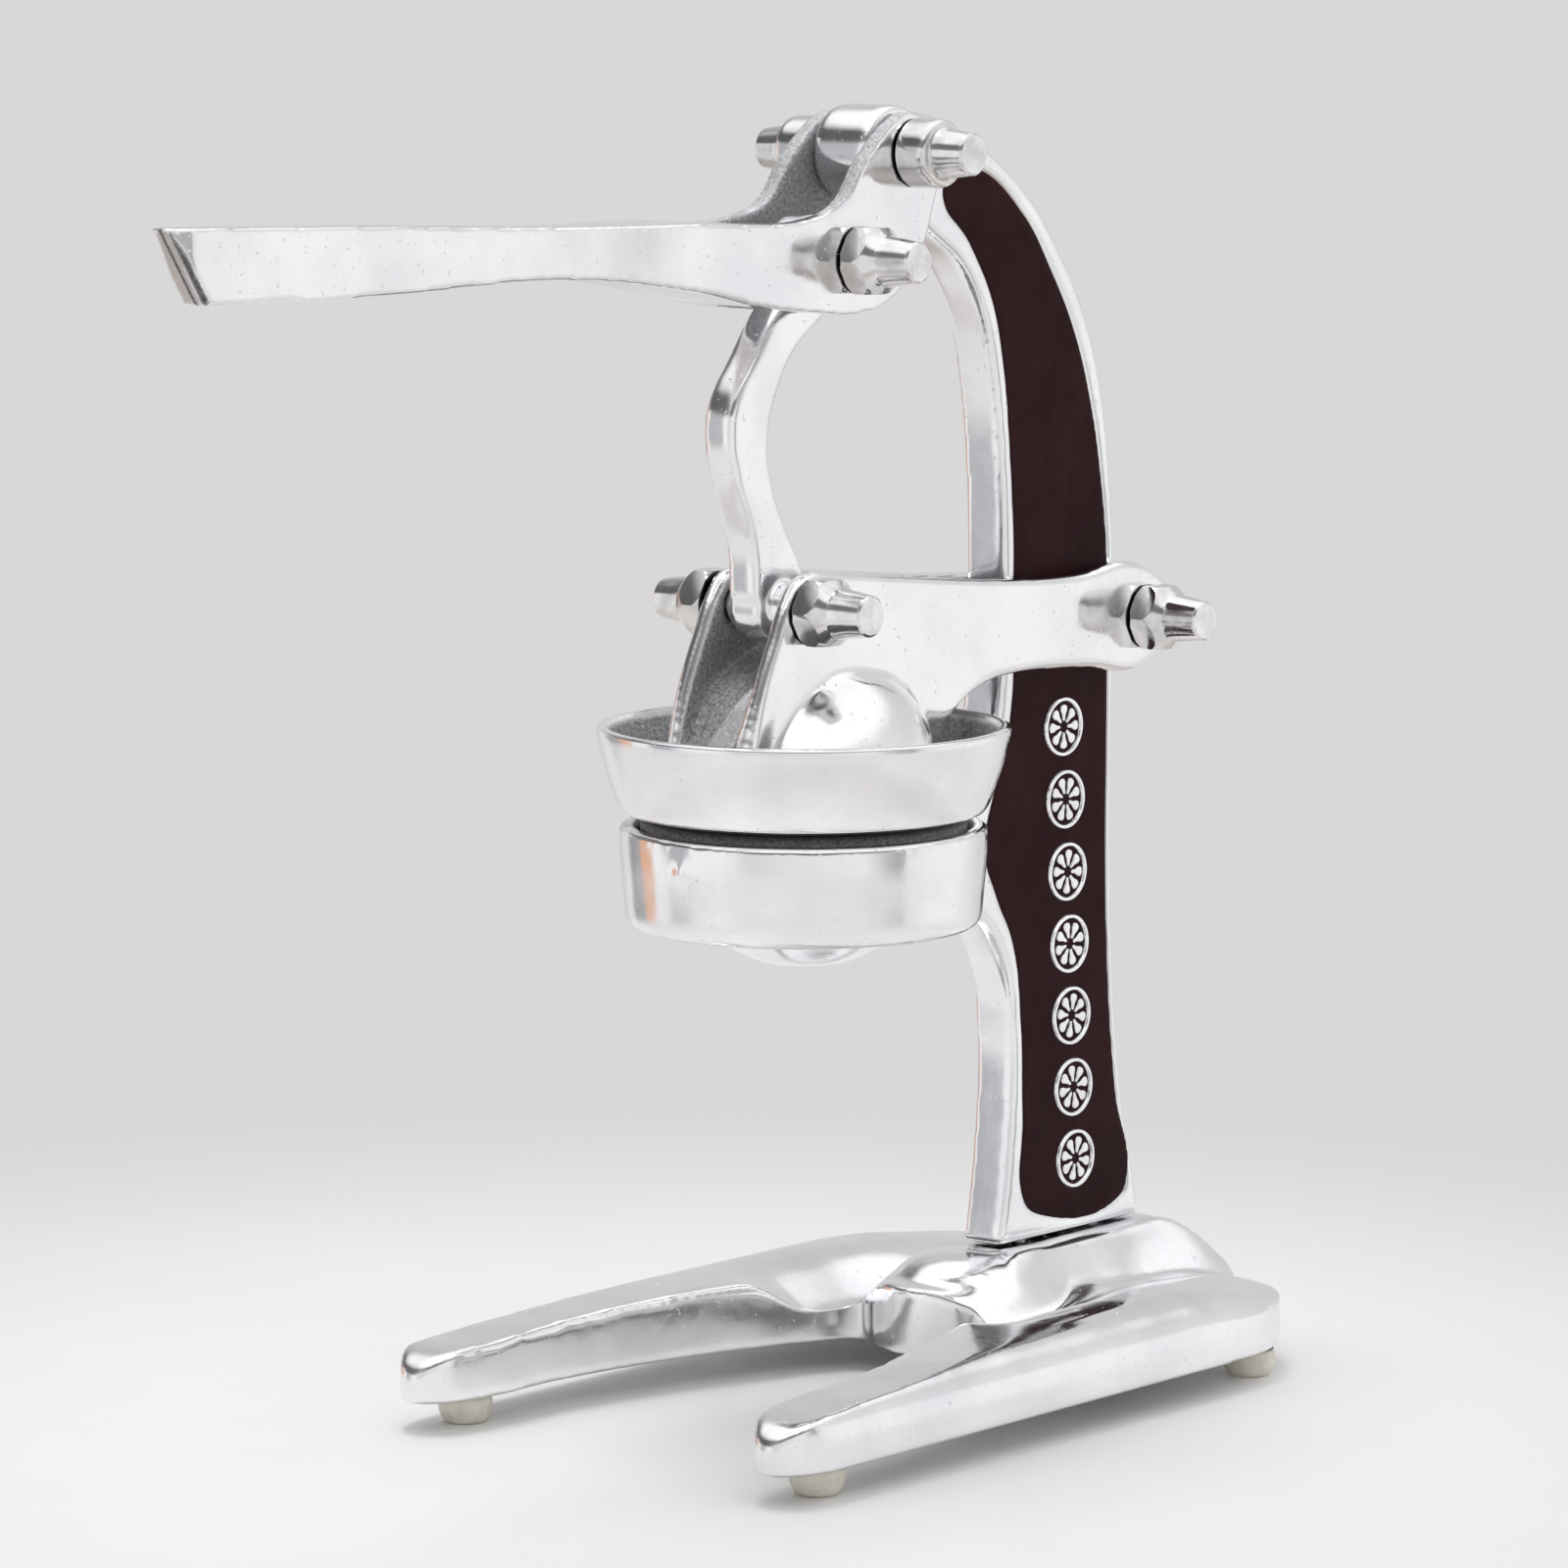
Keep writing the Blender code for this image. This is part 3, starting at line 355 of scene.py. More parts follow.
def finish(obj, surface, body, nodes, sharp_degrees=180.0):
    """Gives a piece its surface and its place in the frame."""
    obj.data.materials.clear()
    obj.data.materials.append(surface)
    obj.data.shade_smooth()
    if sharp_degrees < 180.0:
        obj.data.set_sharp_from_angle(angle=math.radians(sharp_degrees))
    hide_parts(*nodes)
    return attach(obj, body)


def store_skin_and_painted_shade(obj, skin_shade_rule):
    """Stores how far the sand-cast skin was left, and the painted shade above 1, by a rule from places
    and normals.

    0 is polished metal, 1 the grey skin, and over 1 it goes on to black: painted shade in deep gaps.
    """
    mesh = obj.data
    normals = np.empty(len(mesh.vertices) * 3, np.float32)
    mesh.vertex_normals.foreach_get("vector", normals)
    # Values over 1 are painted shade, not skin.
    skin = skin_shade_rule(*places_of(mesh).T, *normals.reshape(-1, 3).T)
    stored = mesh.attributes.new("skin_then_black_shade", "FLOAT", "POINT")
    stored.data.foreach_set("value", skin.astype(np.float32))
    return obj


def rise(value, low, high):
    """From 0 at low to 1 at high, with soft ends."""
    t = np.clip((value - low) / (high - low), 0.0, 1.0)
    return t * t * (3.0 - 2.0 * t)


# --- materials ---


class Graph:
    """Short calls for the nodes that a material and the sky are both made of."""

    def __init__(self, made):
        self.made = made
        made.use_nodes = True
        self.nodes = made.node_tree.nodes
        self.links = made.node_tree.links

    def feed(self, socket, value):
        """Sets a socket to a number or colour, or links it to another socket."""
        if isinstance(value, float):
            socket.default_value = value
        elif isinstance(value, tuple):
            socket.default_value = (*value, 1.0)
        else:
            self.links.new(value, socket)

    def math(self, operation, one, two):
        made = self.nodes.new("ShaderNodeMath")
        made.operation = operation
        self.feed(made.inputs[0], one)
        self.feed(made.inputs[1], two)
        return made.outputs["Value"]

    def mixed(self, factor, one, two):
        """A colour or a number between two, by a factor."""
        made = self.nodes.new("ShaderNodeMix")
        is_colour = isinstance(one, tuple) or getattr(one, "type", "") == "RGBA"
        made.data_type = "RGBA" if is_colour else "FLOAT"
        first = 6 if is_colour else 2
        for socket, value in ((0, factor), (first, one), (first + 1, two)):
            self.feed(made.inputs[socket], value)
        return made.outputs[2 if is_colour else 0]


class Surface(Graph):
    """A procedural Principled material."""

    def __init__(self, name, metallic, roughness, colour):
        super().__init__(bpy.data.materials.new(name))
        self.shader = self.nodes["Principled BSDF"]
        self.shader.inputs["Metallic"].default_value = metallic
        self.shader.inputs["Roughness"].default_value = roughness
        self.shader.inputs["Base Color"].default_value = (*colour, 1.0)
        self.made.diffuse_color = (*colour, 1.0)
        self.place = self.nodes.new("ShaderNodeTexCoord").outputs["Object"]

    def stretched(self, scale):
        """The place with a scale for each axis, for fine lines and brushing."""
        mapping = self.nodes.new("ShaderNodeMapping")
        mapping.inputs["Scale"].default_value = scale
        self.links.new(self.place, mapping.inputs["Vector"])
        return mapping.outputs["Vector"]

    def noise(self, scale, detail=2.0, roughness=0.5, distortion=0.0, place=None):
        made = self.nodes.new("ShaderNodeTexNoise")
        made.inputs["Scale"].default_value = scale
        made.inputs["Detail"].default_value = detail
        made.inputs["Roughness"].default_value = roughness
        made.inputs["Distortion"].default_value = distortion
        self.links.new(place or self.place, made.inputs["Vector"])
        return made.outputs["Fac"]

    def span(self, value, low, high, to_low=0.0, to_high=1.0):
        """A value's rise from low to high, as one from to_low to to_high."""
        made = self.nodes.new("ShaderNodeMapRange")
        made.interpolation_type = "SMOOTHSTEP"
        made.inputs["From Min"].default_value = low
        made.inputs["From Max"].default_value = high
        made.inputs["To Min"].default_value = to_low
        made.inputs["To Max"].default_value = to_high
        self.links.new(value, made.inputs["Value"])
        return made.outputs["Result"]

    def shaded(self, value, low, high, one, two):
        """A colour that goes from one to two while a value goes from low to high."""
        return self.mixed(self.span(value, low, high), one, two)

    def attribute(self, name):
        made = self.nodes.new("ShaderNodeAttribute")
        made.attribute_name = name
        return made.outputs["Fac"]

    def bumped(self, height, distance_mm, onto=None):
        """A normal raised by a height, on top of another normal."""
        made = self.nodes.new("ShaderNodeBump")
        made.inputs["Strength"].default_value = 1.0
        made.inputs["Distance"].default_value = distance_mm * MM
        self.links.new(height, made.inputs["Height"])
        if onto is not None:
            self.links.new(onto, made.inputs["Normal"])
        return made.outputs["Normal"]

    def wire(self, **sockets):
        """The finished material, with its shader's sockets linked; _ stands for a space."""
        for name, value in sockets.items():
            self.links.new(value, self.shader.inputs[name.replace("_", " ")])
        return self.made


def polished_aluminium():
    """Hand-polished cast aluminium; the attribute skin_then_black_shade brings up the grey sand-cast
    skin, then painted black shade.
    """
    metal = Surface("polished_cast_aluminium", 1.0, 0.16, (0.9, 0.9, 0.91))
    cloud = metal.noise(28.0, 4.0, 0.55)
    smear = metal.noise(60.0, 5.0, 0.6, 0.6)
    hairlines = metal.noise(1.0, 3.0, 0.6, 0.0, metal.stretched((900.0, 90.0, 140.0)))
    patches = metal.noise(210.0, 5.0, 0.65)
    sand = metal.noise(950.0, 4.0, 0.75)
    left = metal.span(metal.attribute("skin_then_black_shade"), 0.0, 1.0)
    # Above 1 the attribute is painted shade: it turns the colour black in deep gaps.
    painted_gap_shade = metal.span(metal.attribute("skin_then_black_shade"), 1.1, 2.1)
    skin = metal.math("MULTIPLY", left, metal.span(patches, 0.22, 0.42, 0.55, 1.0))

    polish_colour = metal.shaded(cloud, 0.35, 0.7, (0.93, 0.93, 0.935), (0.83, 0.83, 0.85))
    sand_colour = metal.shaded(sand, 0.35, 0.7, (0.3, 0.3, 0.315), (0.64, 0.64, 0.655))
    colour = metal.mixed(painted_gap_shade, metal.mixed(skin, polish_colour, sand_colour), (0.02, 0.02, 0.022))

    smeared = metal.span(smear, 0.35, 0.72, 0.075, 0.2)
    sheen = metal.math("ADD", smeared, metal.span(hairlines, 0.5, 0.8, 0.0, 0.1))
    roughness = metal.mixed(skin, sheen, 0.52)

    ripples = metal.bumped(metal.noise(46.0, 1.5, 0.4), 0.55)
    dints = metal.bumped(metal.noise(190.0, 2.0, 0.5), 0.035, ripples)
    pits = metal.bumped(metal.span(metal.noise(620.0, 3.0, 0.6), 0.24, 0.34), 0.12, dints)
    grains = metal.bumped(metal.math("MULTIPLY", left, sand), 0.75, pits)
    return metal.wire(Base_Color=colour, Roughness=roughness, Normal=grains)


def dark_enamel():
    """Nearly black oxblood paint, poured into the recess: hardly glossy, with a slight orange peel."""
    paint = Surface("dark_enamel", 0.0, 0.3, (0.022, 0.006, 0.007))
    cloud = paint.noise(40.0, 4.0, 0.6)
    colour = paint.shaded(cloud, 0.3, 0.75, (0.02, 0.0036, 0.0052), (0.03, 0.0065, 0.0085))
    roughness = paint.span(paint.noise(120.0, 3.0, 0.6), 0.3, 0.75, 0.34, 0.5)
    paint.shader.inputs["Specular IOR Level"].default_value = 0.07
    sag = paint.bumped(paint.noise(70.0, 2.0, 0.5), 0.25)
    peel = paint.bumped(paint.noise(330.0, 2.0, 0.5), 0.06, sag)
    return paint.wire(Base_Color=colour, Roughness=roughness, Normal=peel)


def nut_steel():
    """Bright turned steel: fine rings round X, smoky flats, and a painted shadow line at the seat."""
    steel = Surface("taper_nut_steel", 1.0, 0.1, (0.85, 0.845, 0.84))
    cloud = steel.noise(140.0, 4.0, 0.6)
    rings = steel.noise(1.0, 2.0, 0.5, 0.0, steel.stretched((5200.0, 60.0, 60.0)))
    smoky = steel.shaded(cloud, 0.3, 0.75, (0.86, 0.85, 0.845), (0.62, 0.612, 0.605))
    sheen = steel.span(cloud, 0.3, 0.75, 0.06, 0.17)
    roughness = steel.math("ADD", sheen, steel.span(rings, 0.4, 0.8, 0.0, 0.08))
    across = steel.nodes.new("ShaderNodeSeparateXYZ")
    steel.links.new(steel.place, across.inputs[0])
    from_middle = steel.math("ABSOLUTE", across.outputs["X"], 0.0)
    # Painted shadow: a black line where the nut sits on the plate.
    seat = steel.span(from_middle, (NUT_FACE + 0.25) * MM, (NUT_FACE + 0.6) * MM, 1.0, 0.0)
    colour = steel.mixed(seat, smoky, (0.03, 0.03, 0.032))
    waves = steel.bumped(steel.noise(240.0, 2.0, 0.5), 0.03)
    return steel.wire(Base_Color=colour, Roughness=roughness, Normal=steel.bumped(rings, 0.012, waves))


def turned_steel():
    """Plain bright steel of pins, screws and bolts."""
    steel = Surface("turned_steel", 1.0, 0.3, (0.6, 0.6, 0.6))
    cloud = steel.noise(260.0, 4.0, 0.6)
    colour = steel.shaded(cloud, 0.3, 0.7, (0.64, 0.64, 0.635), (0.46, 0.455, 0.45))
    roughness = steel.span(steel.noise(500.0, 3.0, 0.6), 0.3, 0.7, 0.2, 0.42)
    grain = steel.bumped(steel.noise(1500.0, 2.0, 0.6), 0.02)
    return steel.wire(Base_Color=colour, Roughness=roughness, Normal=grain)


def stainless_sheet():
    """Pressed stainless sheet, brushed round the cone."""
    steel = Surface("stainless_sheet", 1.0, 0.28, (0.72, 0.72, 0.73))
    cloud = steel.noise(90.0, 4.0, 0.6)
    colour = steel.shaded(cloud, 0.3, 0.7, (0.76, 0.76, 0.765), (0.66, 0.66, 0.67))
    brushed = steel.noise(1.0, 3.0, 0.6, 0.0, steel.stretched((220.0, 220.0, 3000.0)))
    roughness = steel.span(brushed, 0.3, 0.75, 0.2, 0.38)
    return steel.wire(Base_Color=colour, Roughness=roughness, Normal=steel.bumped(brushed, 0.02))


def ivory_rubber():
    rubber = Surface("ivory_rubber", 0.0, 0.4, (0.74, 0.7, 0.6))
    cloud = rubber.noise(220.0, 4.0, 0.6)
    colour = rubber.shaded(cloud, 0.3, 0.75, (0.78, 0.745, 0.65), (0.64, 0.6, 0.5))
    roughness = rubber.span(rubber.noise(700.0, 3.0, 0.6), 0.3, 0.7, 0.28, 0.45)
    grain = rubber.bumped(rubber.noise(1700.0, 2.0, 0.6), 0.05)
    return rubber.wire(Base_Color=colour, Roughness=roughness, Normal=grain)


def pale_floor():
    """A matt table top that fades into the backdrop away from the press."""
    table = Surface("pale_floor", 0.0, 0.55, (0.86, 0.855, 0.85))
    cloud = table.noise(9.0, 3.0, 0.5)
    colour = table.shaded(cloud, 0.3, 0.7, (0.868, 0.862, 0.856), (0.85, 0.846, 0.842))
    roughness = table.span(table.noise(60.0, 3.0, 0.5), 0.3, 0.7, 0.5, 0.6)
    grain = table.bumped(table.noise(900.0, 2.0, 0.5), 0.02)
    away = table.nodes.new("ShaderNodeVectorMath")
    away.operation = "LENGTH"
    table.links.new(table.place, away.inputs[0])
    fade = table.span(away.outputs["Value"], FLOOR_FADE_START, FLOOR_FADE_END, 1.0, 0.0)
    return table.wire(Base_Color=colour, Roughness=roughness, Normal=grain, Alpha=fade)


ALUMINIUM = polished_aluminium()
ENAMEL = dark_enamel()
NUT_STEEL = nut_steel()
STEEL = turned_steel()
SHEET = stainless_sheet()
RUBBER = ivory_rubber()

# --- base ---

BASE_HALF_WIDTH = 75.0
LEG_TIP_Y = -90.0
LEG_INNER = BASE_HALF_WIDTH - 22.0
LEG_MIDDLE = BASE_HALF_WIDTH - 11.0
BASE_REAR_Y = 160.0
HUMP_RADIUS = 26.0
HUMP_Y = 70.0
BOLT_YS = (93.0, 126.0)
VALLEY_X = 29.0
VALLEY_HALF_WIDTH = 12.0
VALLEY_DEPTH = 10.5
LEG_DROOP = 7.0
SEAT_TOP_HALF = 13.0
SEAT_FOOT_HALF = 44.0
BOLT_POCKET_RADIUS = 9.0
BOLT_POCKET_ROOF = 14.0
BASE_REACH = BASE_HALF_WIDTH + 15.0

LEG_PROFILE = above(BASE_LOW, [
    (LEG_TIP_Y - 1.5, 0.0), (LEG_TIP_Y - 0.4, 6.5, S), (LEG_TIP_Y + 2.0, 10.8, S),
    (LEG_TIP_Y + 7.0, 13.6, S), (LEG_TIP_Y + 22.0, 15.4, S), (LEG_TIP_Y + 50.0, 17.0, S), (0.0, 19.0, S),
    (60.0, 20.0, S),
    (BASE_REAR_Y - 48.0, 19.0, S), (BASE_REAR_Y - 22.0, 14.5, S), (BASE_REAR_Y - 7.0, 7.0, S),
    (BASE_REAR_Y + 1.0, 0.0),
])
EDGE_PROFILE = [(BASE_HALF_WIDTH + 0.5, BASE_LOW)] + above(BASE_LOW, [
    (BASE_HALF_WIDTH, 9.0), (BASE_HALF_WIDTH - 1.6, 14.0, S), (BASE_HALF_WIDTH - 5.5, 17.8, S),
    (BASE_HALF_WIDTH - 15.0, 20.8, S), (BASE_HALF_WIDTH - 30.0, 40.0), (0.0, 40.0),
])
PLATFORM_PROFILE = [(58.0, BASE_LOW)] + above(COLUMN_FOOT, [
    (65.0, -9.0, S), (71.0, -2.0, S), (77.5, -0.4), (143.5, -0.4), (150.0, -3.0, S), (156.0, -13.0, S),
]) + [(158.5, BASE_LOW)]


def base_plan():
    """The base from above, its +X half from front to back, mirrored."""
    hump_front = HUMP_Y - HUMP_RADIUS
    return mirrored([
        (0.0, hump_front, S), (14.0, hump_front + 3.5, S), (22.0, hump_front + 7.5, S),
        (LEG_INNER - 22.5, 40.0, S), (LEG_INNER - 16.0, 24.0, S), (LEG_INNER - 8.5, 0.0, S),
        (LEG_INNER - 1.5, LEG_TIP_Y + 52.0, S), (LEG_INNER, LEG_TIP_Y + 15.0, S),
        (LEG_MIDDLE - 7.5, LEG_TIP_Y + 5.0, S), (LEG_MIDDLE, LEG_TIP_Y, S),
        (LEG_MIDDLE + 7.5, LEG_TIP_Y + 5.0, S), (BASE_HALF_WIDTH, LEG_TIP_Y + 15.0),
        (BASE_HALF_WIDTH, BASE_REAR_Y - 64.0), (BASE_HALF_WIDTH - 4.5, BASE_REAR_Y - 37.0, S),
        (BASE_HALF_WIDTH - 35.0, BASE_REAR_Y - 9.0, S), (0.0, BASE_REAR_Y, S),
    ])


def column_seat():
    """The raised platform under the column, with sides that slope down to the legs."""
    platform = side_solid("platform", PLATFORM_PROFILE, -BASE_REACH, BASE_REACH)
    slopes = bmesh.new()
    bmesh.ops.create_cube(slopes, size=1.0)
    for vert in slopes.verts:
        half_width = SEAT_TOP_HALF if vert.co.z > 0 else SEAT_FOOT_HALF
        y = BASE_REAR_Y + 20.0 if vert.co.y > 0 else HUMP_Y - 16.0
        z = COLUMN_FOOT if vert.co.z > 0 else BASE_LOW
        vert.co = (math.copysign(half_width * MM, vert.co.x), y * MM + BOWL_Y, z * MM)
    return boolean(platform, "INTERSECT", [from_bmesh("slopes", slopes)])


def hump():
    """The round hump in front of the column."""
    return turned("hump", [(0.0, COLUMN_FOOT - 0.6)] + above(COLUMN_FOOT, [
        (HUMP_RADIUS - 16.5, -1.2, S), (HUMP_RADIUS - 8.5, -4.6, S), (HUMP_RADIUS - 3.4, -11.0, S),
        (HUMP_RADIUS - 0.7, -18.5, S), (HUMP_RADIUS, -23.0, S),
    ]) + [(HUMP_RADIUS, BASE_LOW), (0.0, BASE_LOW)], at=(0.0, HUMP_Y))


def hollowed(x, y, z):
    """Sinks the valleys between the legs and the seat, and lets the legs droop to the rear."""
    wide = np.exp(-((np.abs(x) - VALLEY_X) / VALLEY_HALF_WIDTH) ** 2)
    along = rise(y, 19.0, 38.0) * (1.0 - 0.5 * rise(y, 58.0, 95.0)) * (1.0 - rise(y, 118.0, 150.0))
    along *= rise(np.hypot(x, y - HUMP_Y), HUMP_RADIUS - 7.0, HUMP_RADIUS + 3.0)
    top = np.clip((z - BASE_LOW) / 20.0, 0.0, 1.2)
    droop = LEG_DROOP * rise(np.abs(x), 45.0, 76.0) * rise(y, 80.0, 145.0)
    return x, y, z - (VALLEY_DEPTH * wide * along + droop) * top * top


def make_base():
    base = plan_solid("base_cast", base_plan(), BASE_LOW, COLUMN_FOOT + 10.0)
    crown = side_solid("legs", LEG_PROFILE, -BASE_REACH, BASE_REACH)
    boolean(crown, "UNION", [column_seat(), hump()])
    edges = front_solid("edges", mirrored(EDGE_PROFILE), LEG_TIP_Y - 10.0, BASE_REAR_Y + 10.0)
    boolean(base, "INTERSECT", [crown, edges])
    remeshed(base, COARSE_VOXEL)
    boolean(base, "DIFFERENCE", [
        upright_rod("pocket", BOLT_POCKET_RADIUS, 0.0, COLUMN_FOOT - BOLT_POCKET_ROOF, (0.0, y))
        for y in BOLT_YS
    ])
    reshaped(base, hollowed)
    softened(base, 18)
    return finish(base, ALUMINIUM, "root", ["base_casting"])


# --- column ---

COLUMN_OUTLINE = above(RING_TOP, [
    (27.0, 193.0), (50.0, 189.5, S), (72.0, 179.3, S), (88.4, 167.2, S), (101.5, 152.3, S),
    (112.8, 135.1, S), (121.0, 113.4, S), (125.6, 86.0, S), (127.6, 61.0, S), (127.2, 26.0, S),
    (127.6, -41.6, S),
]) + above(COLUMN_FOOT, [
    (132.7, 37.4, S), (141.4, 0.0), (77.0, 0.0), (80.8, 25.0, S), (82.4, 58.8, S),
]) + above(RING_TOP, [
    (78.5, -48.0, S), (66.0, -33.0, S), (46.8, -26.0), (46.8, -1.0),
    (62.0, 2.0, S), (71.5, 12.0, S), (76.8, 33.0, S), (77.5, 61.3, S), (76.4, 92.0, S), (73.2, 117.0, S),
    (69.0, 132.7, S), (60.0, 147.7, S), (45.4, 158.0, S), (28.0, 169.0),
])
PANEL_OUTLINE = above(RING_TOP, [
    (50.6, 169.5, S), (55.0, 175.5, S), (64.0, 176.0, S), (86.0, 162.0, S), (98.4, 146.0, S),
    (108.4, 129.5, S), (115.6, 111.0, S), (121.4, 86.0, S), (124.6, 58.0, S), (124.6, 26.0, S),
    (125.0, -41.6, S),
]) + above(COLUMN_FOOT, [
    (129.8, 37.4, S), (135.4, 11.5, S), (132.0, 6.5, S), (95.0, 6.5, S), (88.4, 11.0, S),
    (87.4, 35.8, S), (86.2, 64.1, S),
]) + above(RING_TOP, [
    (82.8, -43.0, S), (75.0, -28.0, S), (70.0, -15.0, S), (75.4, 5.0, S), (80.6, 20.0, S),
    (82.3, 59.8, S), (79.8, 101.1, S), (77.0, 122.0, S), (72.2, 139.0, S), (62.3, 155.0, S),
])


def panel(name, x_one, x_two, grow=0.0):
    """The panel's field, with room left round the lug at the arm's pivot."""
    low, high = sorted((x_one, x_two))
    field = side_solid(name, PANEL_OUTLINE, low, high, grow=grow)
    lug = cross_rod(name + "_lug", PIN_RADIUS + 9.0 - grow, low - 1.0, high + 1.0, PIVOT_ARM)
    return boolean(field, "DIFFERENCE", [lug])


def ring_wall():
    """The ring's section turned round: a slightly tapered wall with an inward floor."""
    return turned("ring", [
        (50.3, RING_TOP), (50.1, RING_TOP - 8.0, S), (49.2, RING_TOP - 18.0, S),
        (48.6, RING_LOW + 3.0, S), (47.6, RING_LOW + 0.9, S), (45.6, RING_LOW), (37.0, RING_LOW),
        (37.0, RING_LOW + RING_FLOOR), (RING_BORE, RING_LOW + RING_FLOOR), (RING_BORE, RING_TOP),
        (50.3, RING_TOP),
    ], around=160)


def ring_bore():
    return turned("bore", [
        (0.0, RING_TOP + 9.0), (RING_BORE, RING_TOP + 9.0), (RING_BORE, RING_LOW + RING_FLOOR),
        (38.0, RING_LOW + RING_FLOOR), (38.0, RING_LOW - 9.0), (0.0, RING_LOW - 9.0),
    ], around=160, steps=1)


def ring_nub():
    """The small round lump on the front of the ring."""
    nub = bmesh.new()
    bmesh.ops.create_uvsphere(nub, u_segments=24, v_segments=16, radius=2.4 * MM)
    bmesh.ops.translate(nub, vec=(0.0, BOWL_Y - 49.2 * MM, (RING_TOP - 8.5) * MM), verts=nub.verts)
    return from_bmesh("nub", nub)


def ring_bore_skin_shade(x, y, z, nx, ny, nz):
    """The bore of the ring is left as cast; the factor 1.3 adds a touch of painted shade in it."""
    in_bore = 1.0 - rise(np.hypot(x, y), RING_BORE + 0.4, RING_BORE + 2.4)
    below_rim = 1.0 - rise(z, RING_TOP + 0.5, RING_TOP + 2.5)
    return 1.3 * in_bore * rise(z, RING_LOW - 1.0, RING_LOW + 1.0) * below_rim


def make_column():
    floor = COLUMN_HALF - PANEL_DEPTH
    column = joined("column_cast", [
        side_solid("column", COLUMN_OUTLINE, -COLUMN_HALF, COLUMN_HALF, 1.6),
        ring_wall(),
        ring_nub(),
        cross_rod("boss", PIN_RADIUS + 9.0, -BOSS_HALF, BOSS_HALF, PIVOT_HANDLE),
        cross_rod("lug", PIN_RADIUS + 7.0, -BOSS_HALF, BOSS_HALF, PIVOT_ARM),
    ])
    cuts = [panel("recess_" + side, sign * floor, sign * (COLUMN_HALF + 3.0)) for side, sign in SIDES]
    cuts += [ring_bore(), pin_bore(PIVOT_HANDLE), pin_bore(PIVOT_ARM)]
    casting(column, cuts, soften=16, voxel=COARSE_VOXEL)
    store_skin_and_painted_shade(column, ring_bore_skin_shade)
    return finish(column, ALUMINIUM, "root", ["column_casting"])


def medallion_places():
    """The centres, as (y, z), evenly down the panel."""
    first = Vector((104.5, RING_TOP + 17.0))
    last = Vector((111.0, COLUMN_FOOT + 20.7))
    return [tuple(first.lerp(last, i / (MEDALLION_COUNT - 1))) for i in range(MEDALLION_COUNT)]


def segment_knots(at, turn):
    """The outline of one segment of a slice, pointing to turn: pith left free on both sides."""
    outer = MEDALLION_RADIUS - 2.4
    half = math.pi / SEGMENT_COUNT - 0.13
    corners = [
        (0.0, 1.5), (-half * 0.8, outer * 0.55), (-half, outer * 0.9), (-half * 0.55, outer),
        (half * 0.55, outer), (half, outer * 0.9), (half * 0.8, outer * 0.55),
    ]
    knots = []
    for angle, radius in corners:
        y = at[0] + radius * math.cos(turn + angle)
        z = at[1] + radius * math.sin(turn + angle)
        knots.append((y, z, S))
    return knots


def slice_parts(at, low, high, turn):
    """A citrus slice in relief: a peel ring, and its segments with pith between them."""
    outer = MEDALLION_RADIUS
    parts = [turned("peel", [
        (outer, low), (outer, high - 0.5), (outer - 0.35, high), (outer - 1.15, high),
        (outer - 1.5, high - 0.5), (outer - 1.5, low), (outer, low),
    ], at=at, around=48, steps=1, axis="X")]
    for i in range(SEGMENT_COUNT):
        knots = segment_knots(at, turn + i * math.tau / SEGMENT_COUNT)
        parts.append(side_solid("segment", knots, low, high - 0.1, 0.35, steps=3, round_steps=2))
    return parts


def make_panels():
    """The enamel in each recess, and the row of citrus slices that stands in it."""
    floor = COLUMN_HALF - PANEL_DEPTH
    for side, sign in SIDES:
        enamel = panel("enamel_field_" + side, sign * (floor - 0.6), sign * (floor + 1.0), 0.35)
        remeshed(enamel)
        finish(enamel, ENAMEL, "root", ["enamel_inlay_" + side], 60.0)
        parts = []
        for i, at in enumerate(medallion_places()):
            parts += slice_parts(at, floor - 0.4, COLUMN_HALF - 0.15, 0.35 * i)
        slices = joined("citrus_slices_" + side, parts)
        if sign < 0:
            to_left(slices)
        finish(slices, ALUMINIUM, "root", [], 50.0)


# --- bowl, strainer and funnel ---


BOWL_RIM = 56.5
BOWL_TOP = RING_TOP + 27.0
BOWL_FOOT = RING_TOP + 3.0


def bowl_skin_gap_shade(x, y, z, nx, ny, nz):
    """Grey inside the bowl; on the spigot grey skin that turns black near its top, as painted shade in
    the gap between bowl and ring.
    """
    radius = np.hypot(x, y)
    outward = nx * x + ny * y
    inside = rise(-outward / np.maximum(radius, 1.0), 0.05, 0.4)
    inside = inside * rise(-z, 1.0 - BOWL_TOP, 2.5 - BOWL_TOP)
    # Values above 1 on the spigot are painted shade, black in the gap under the bowl's shoulder.
    spigot = (1.0 + 1.2 * rise(z, BOWL_FOOT - 2.0, BOWL_FOOT - 0.5)) * rise(outward, 0.0, 5.0)
    return inside + spigot * (1.0 - rise(radius, RING_BORE, RING_BORE + 2.0))


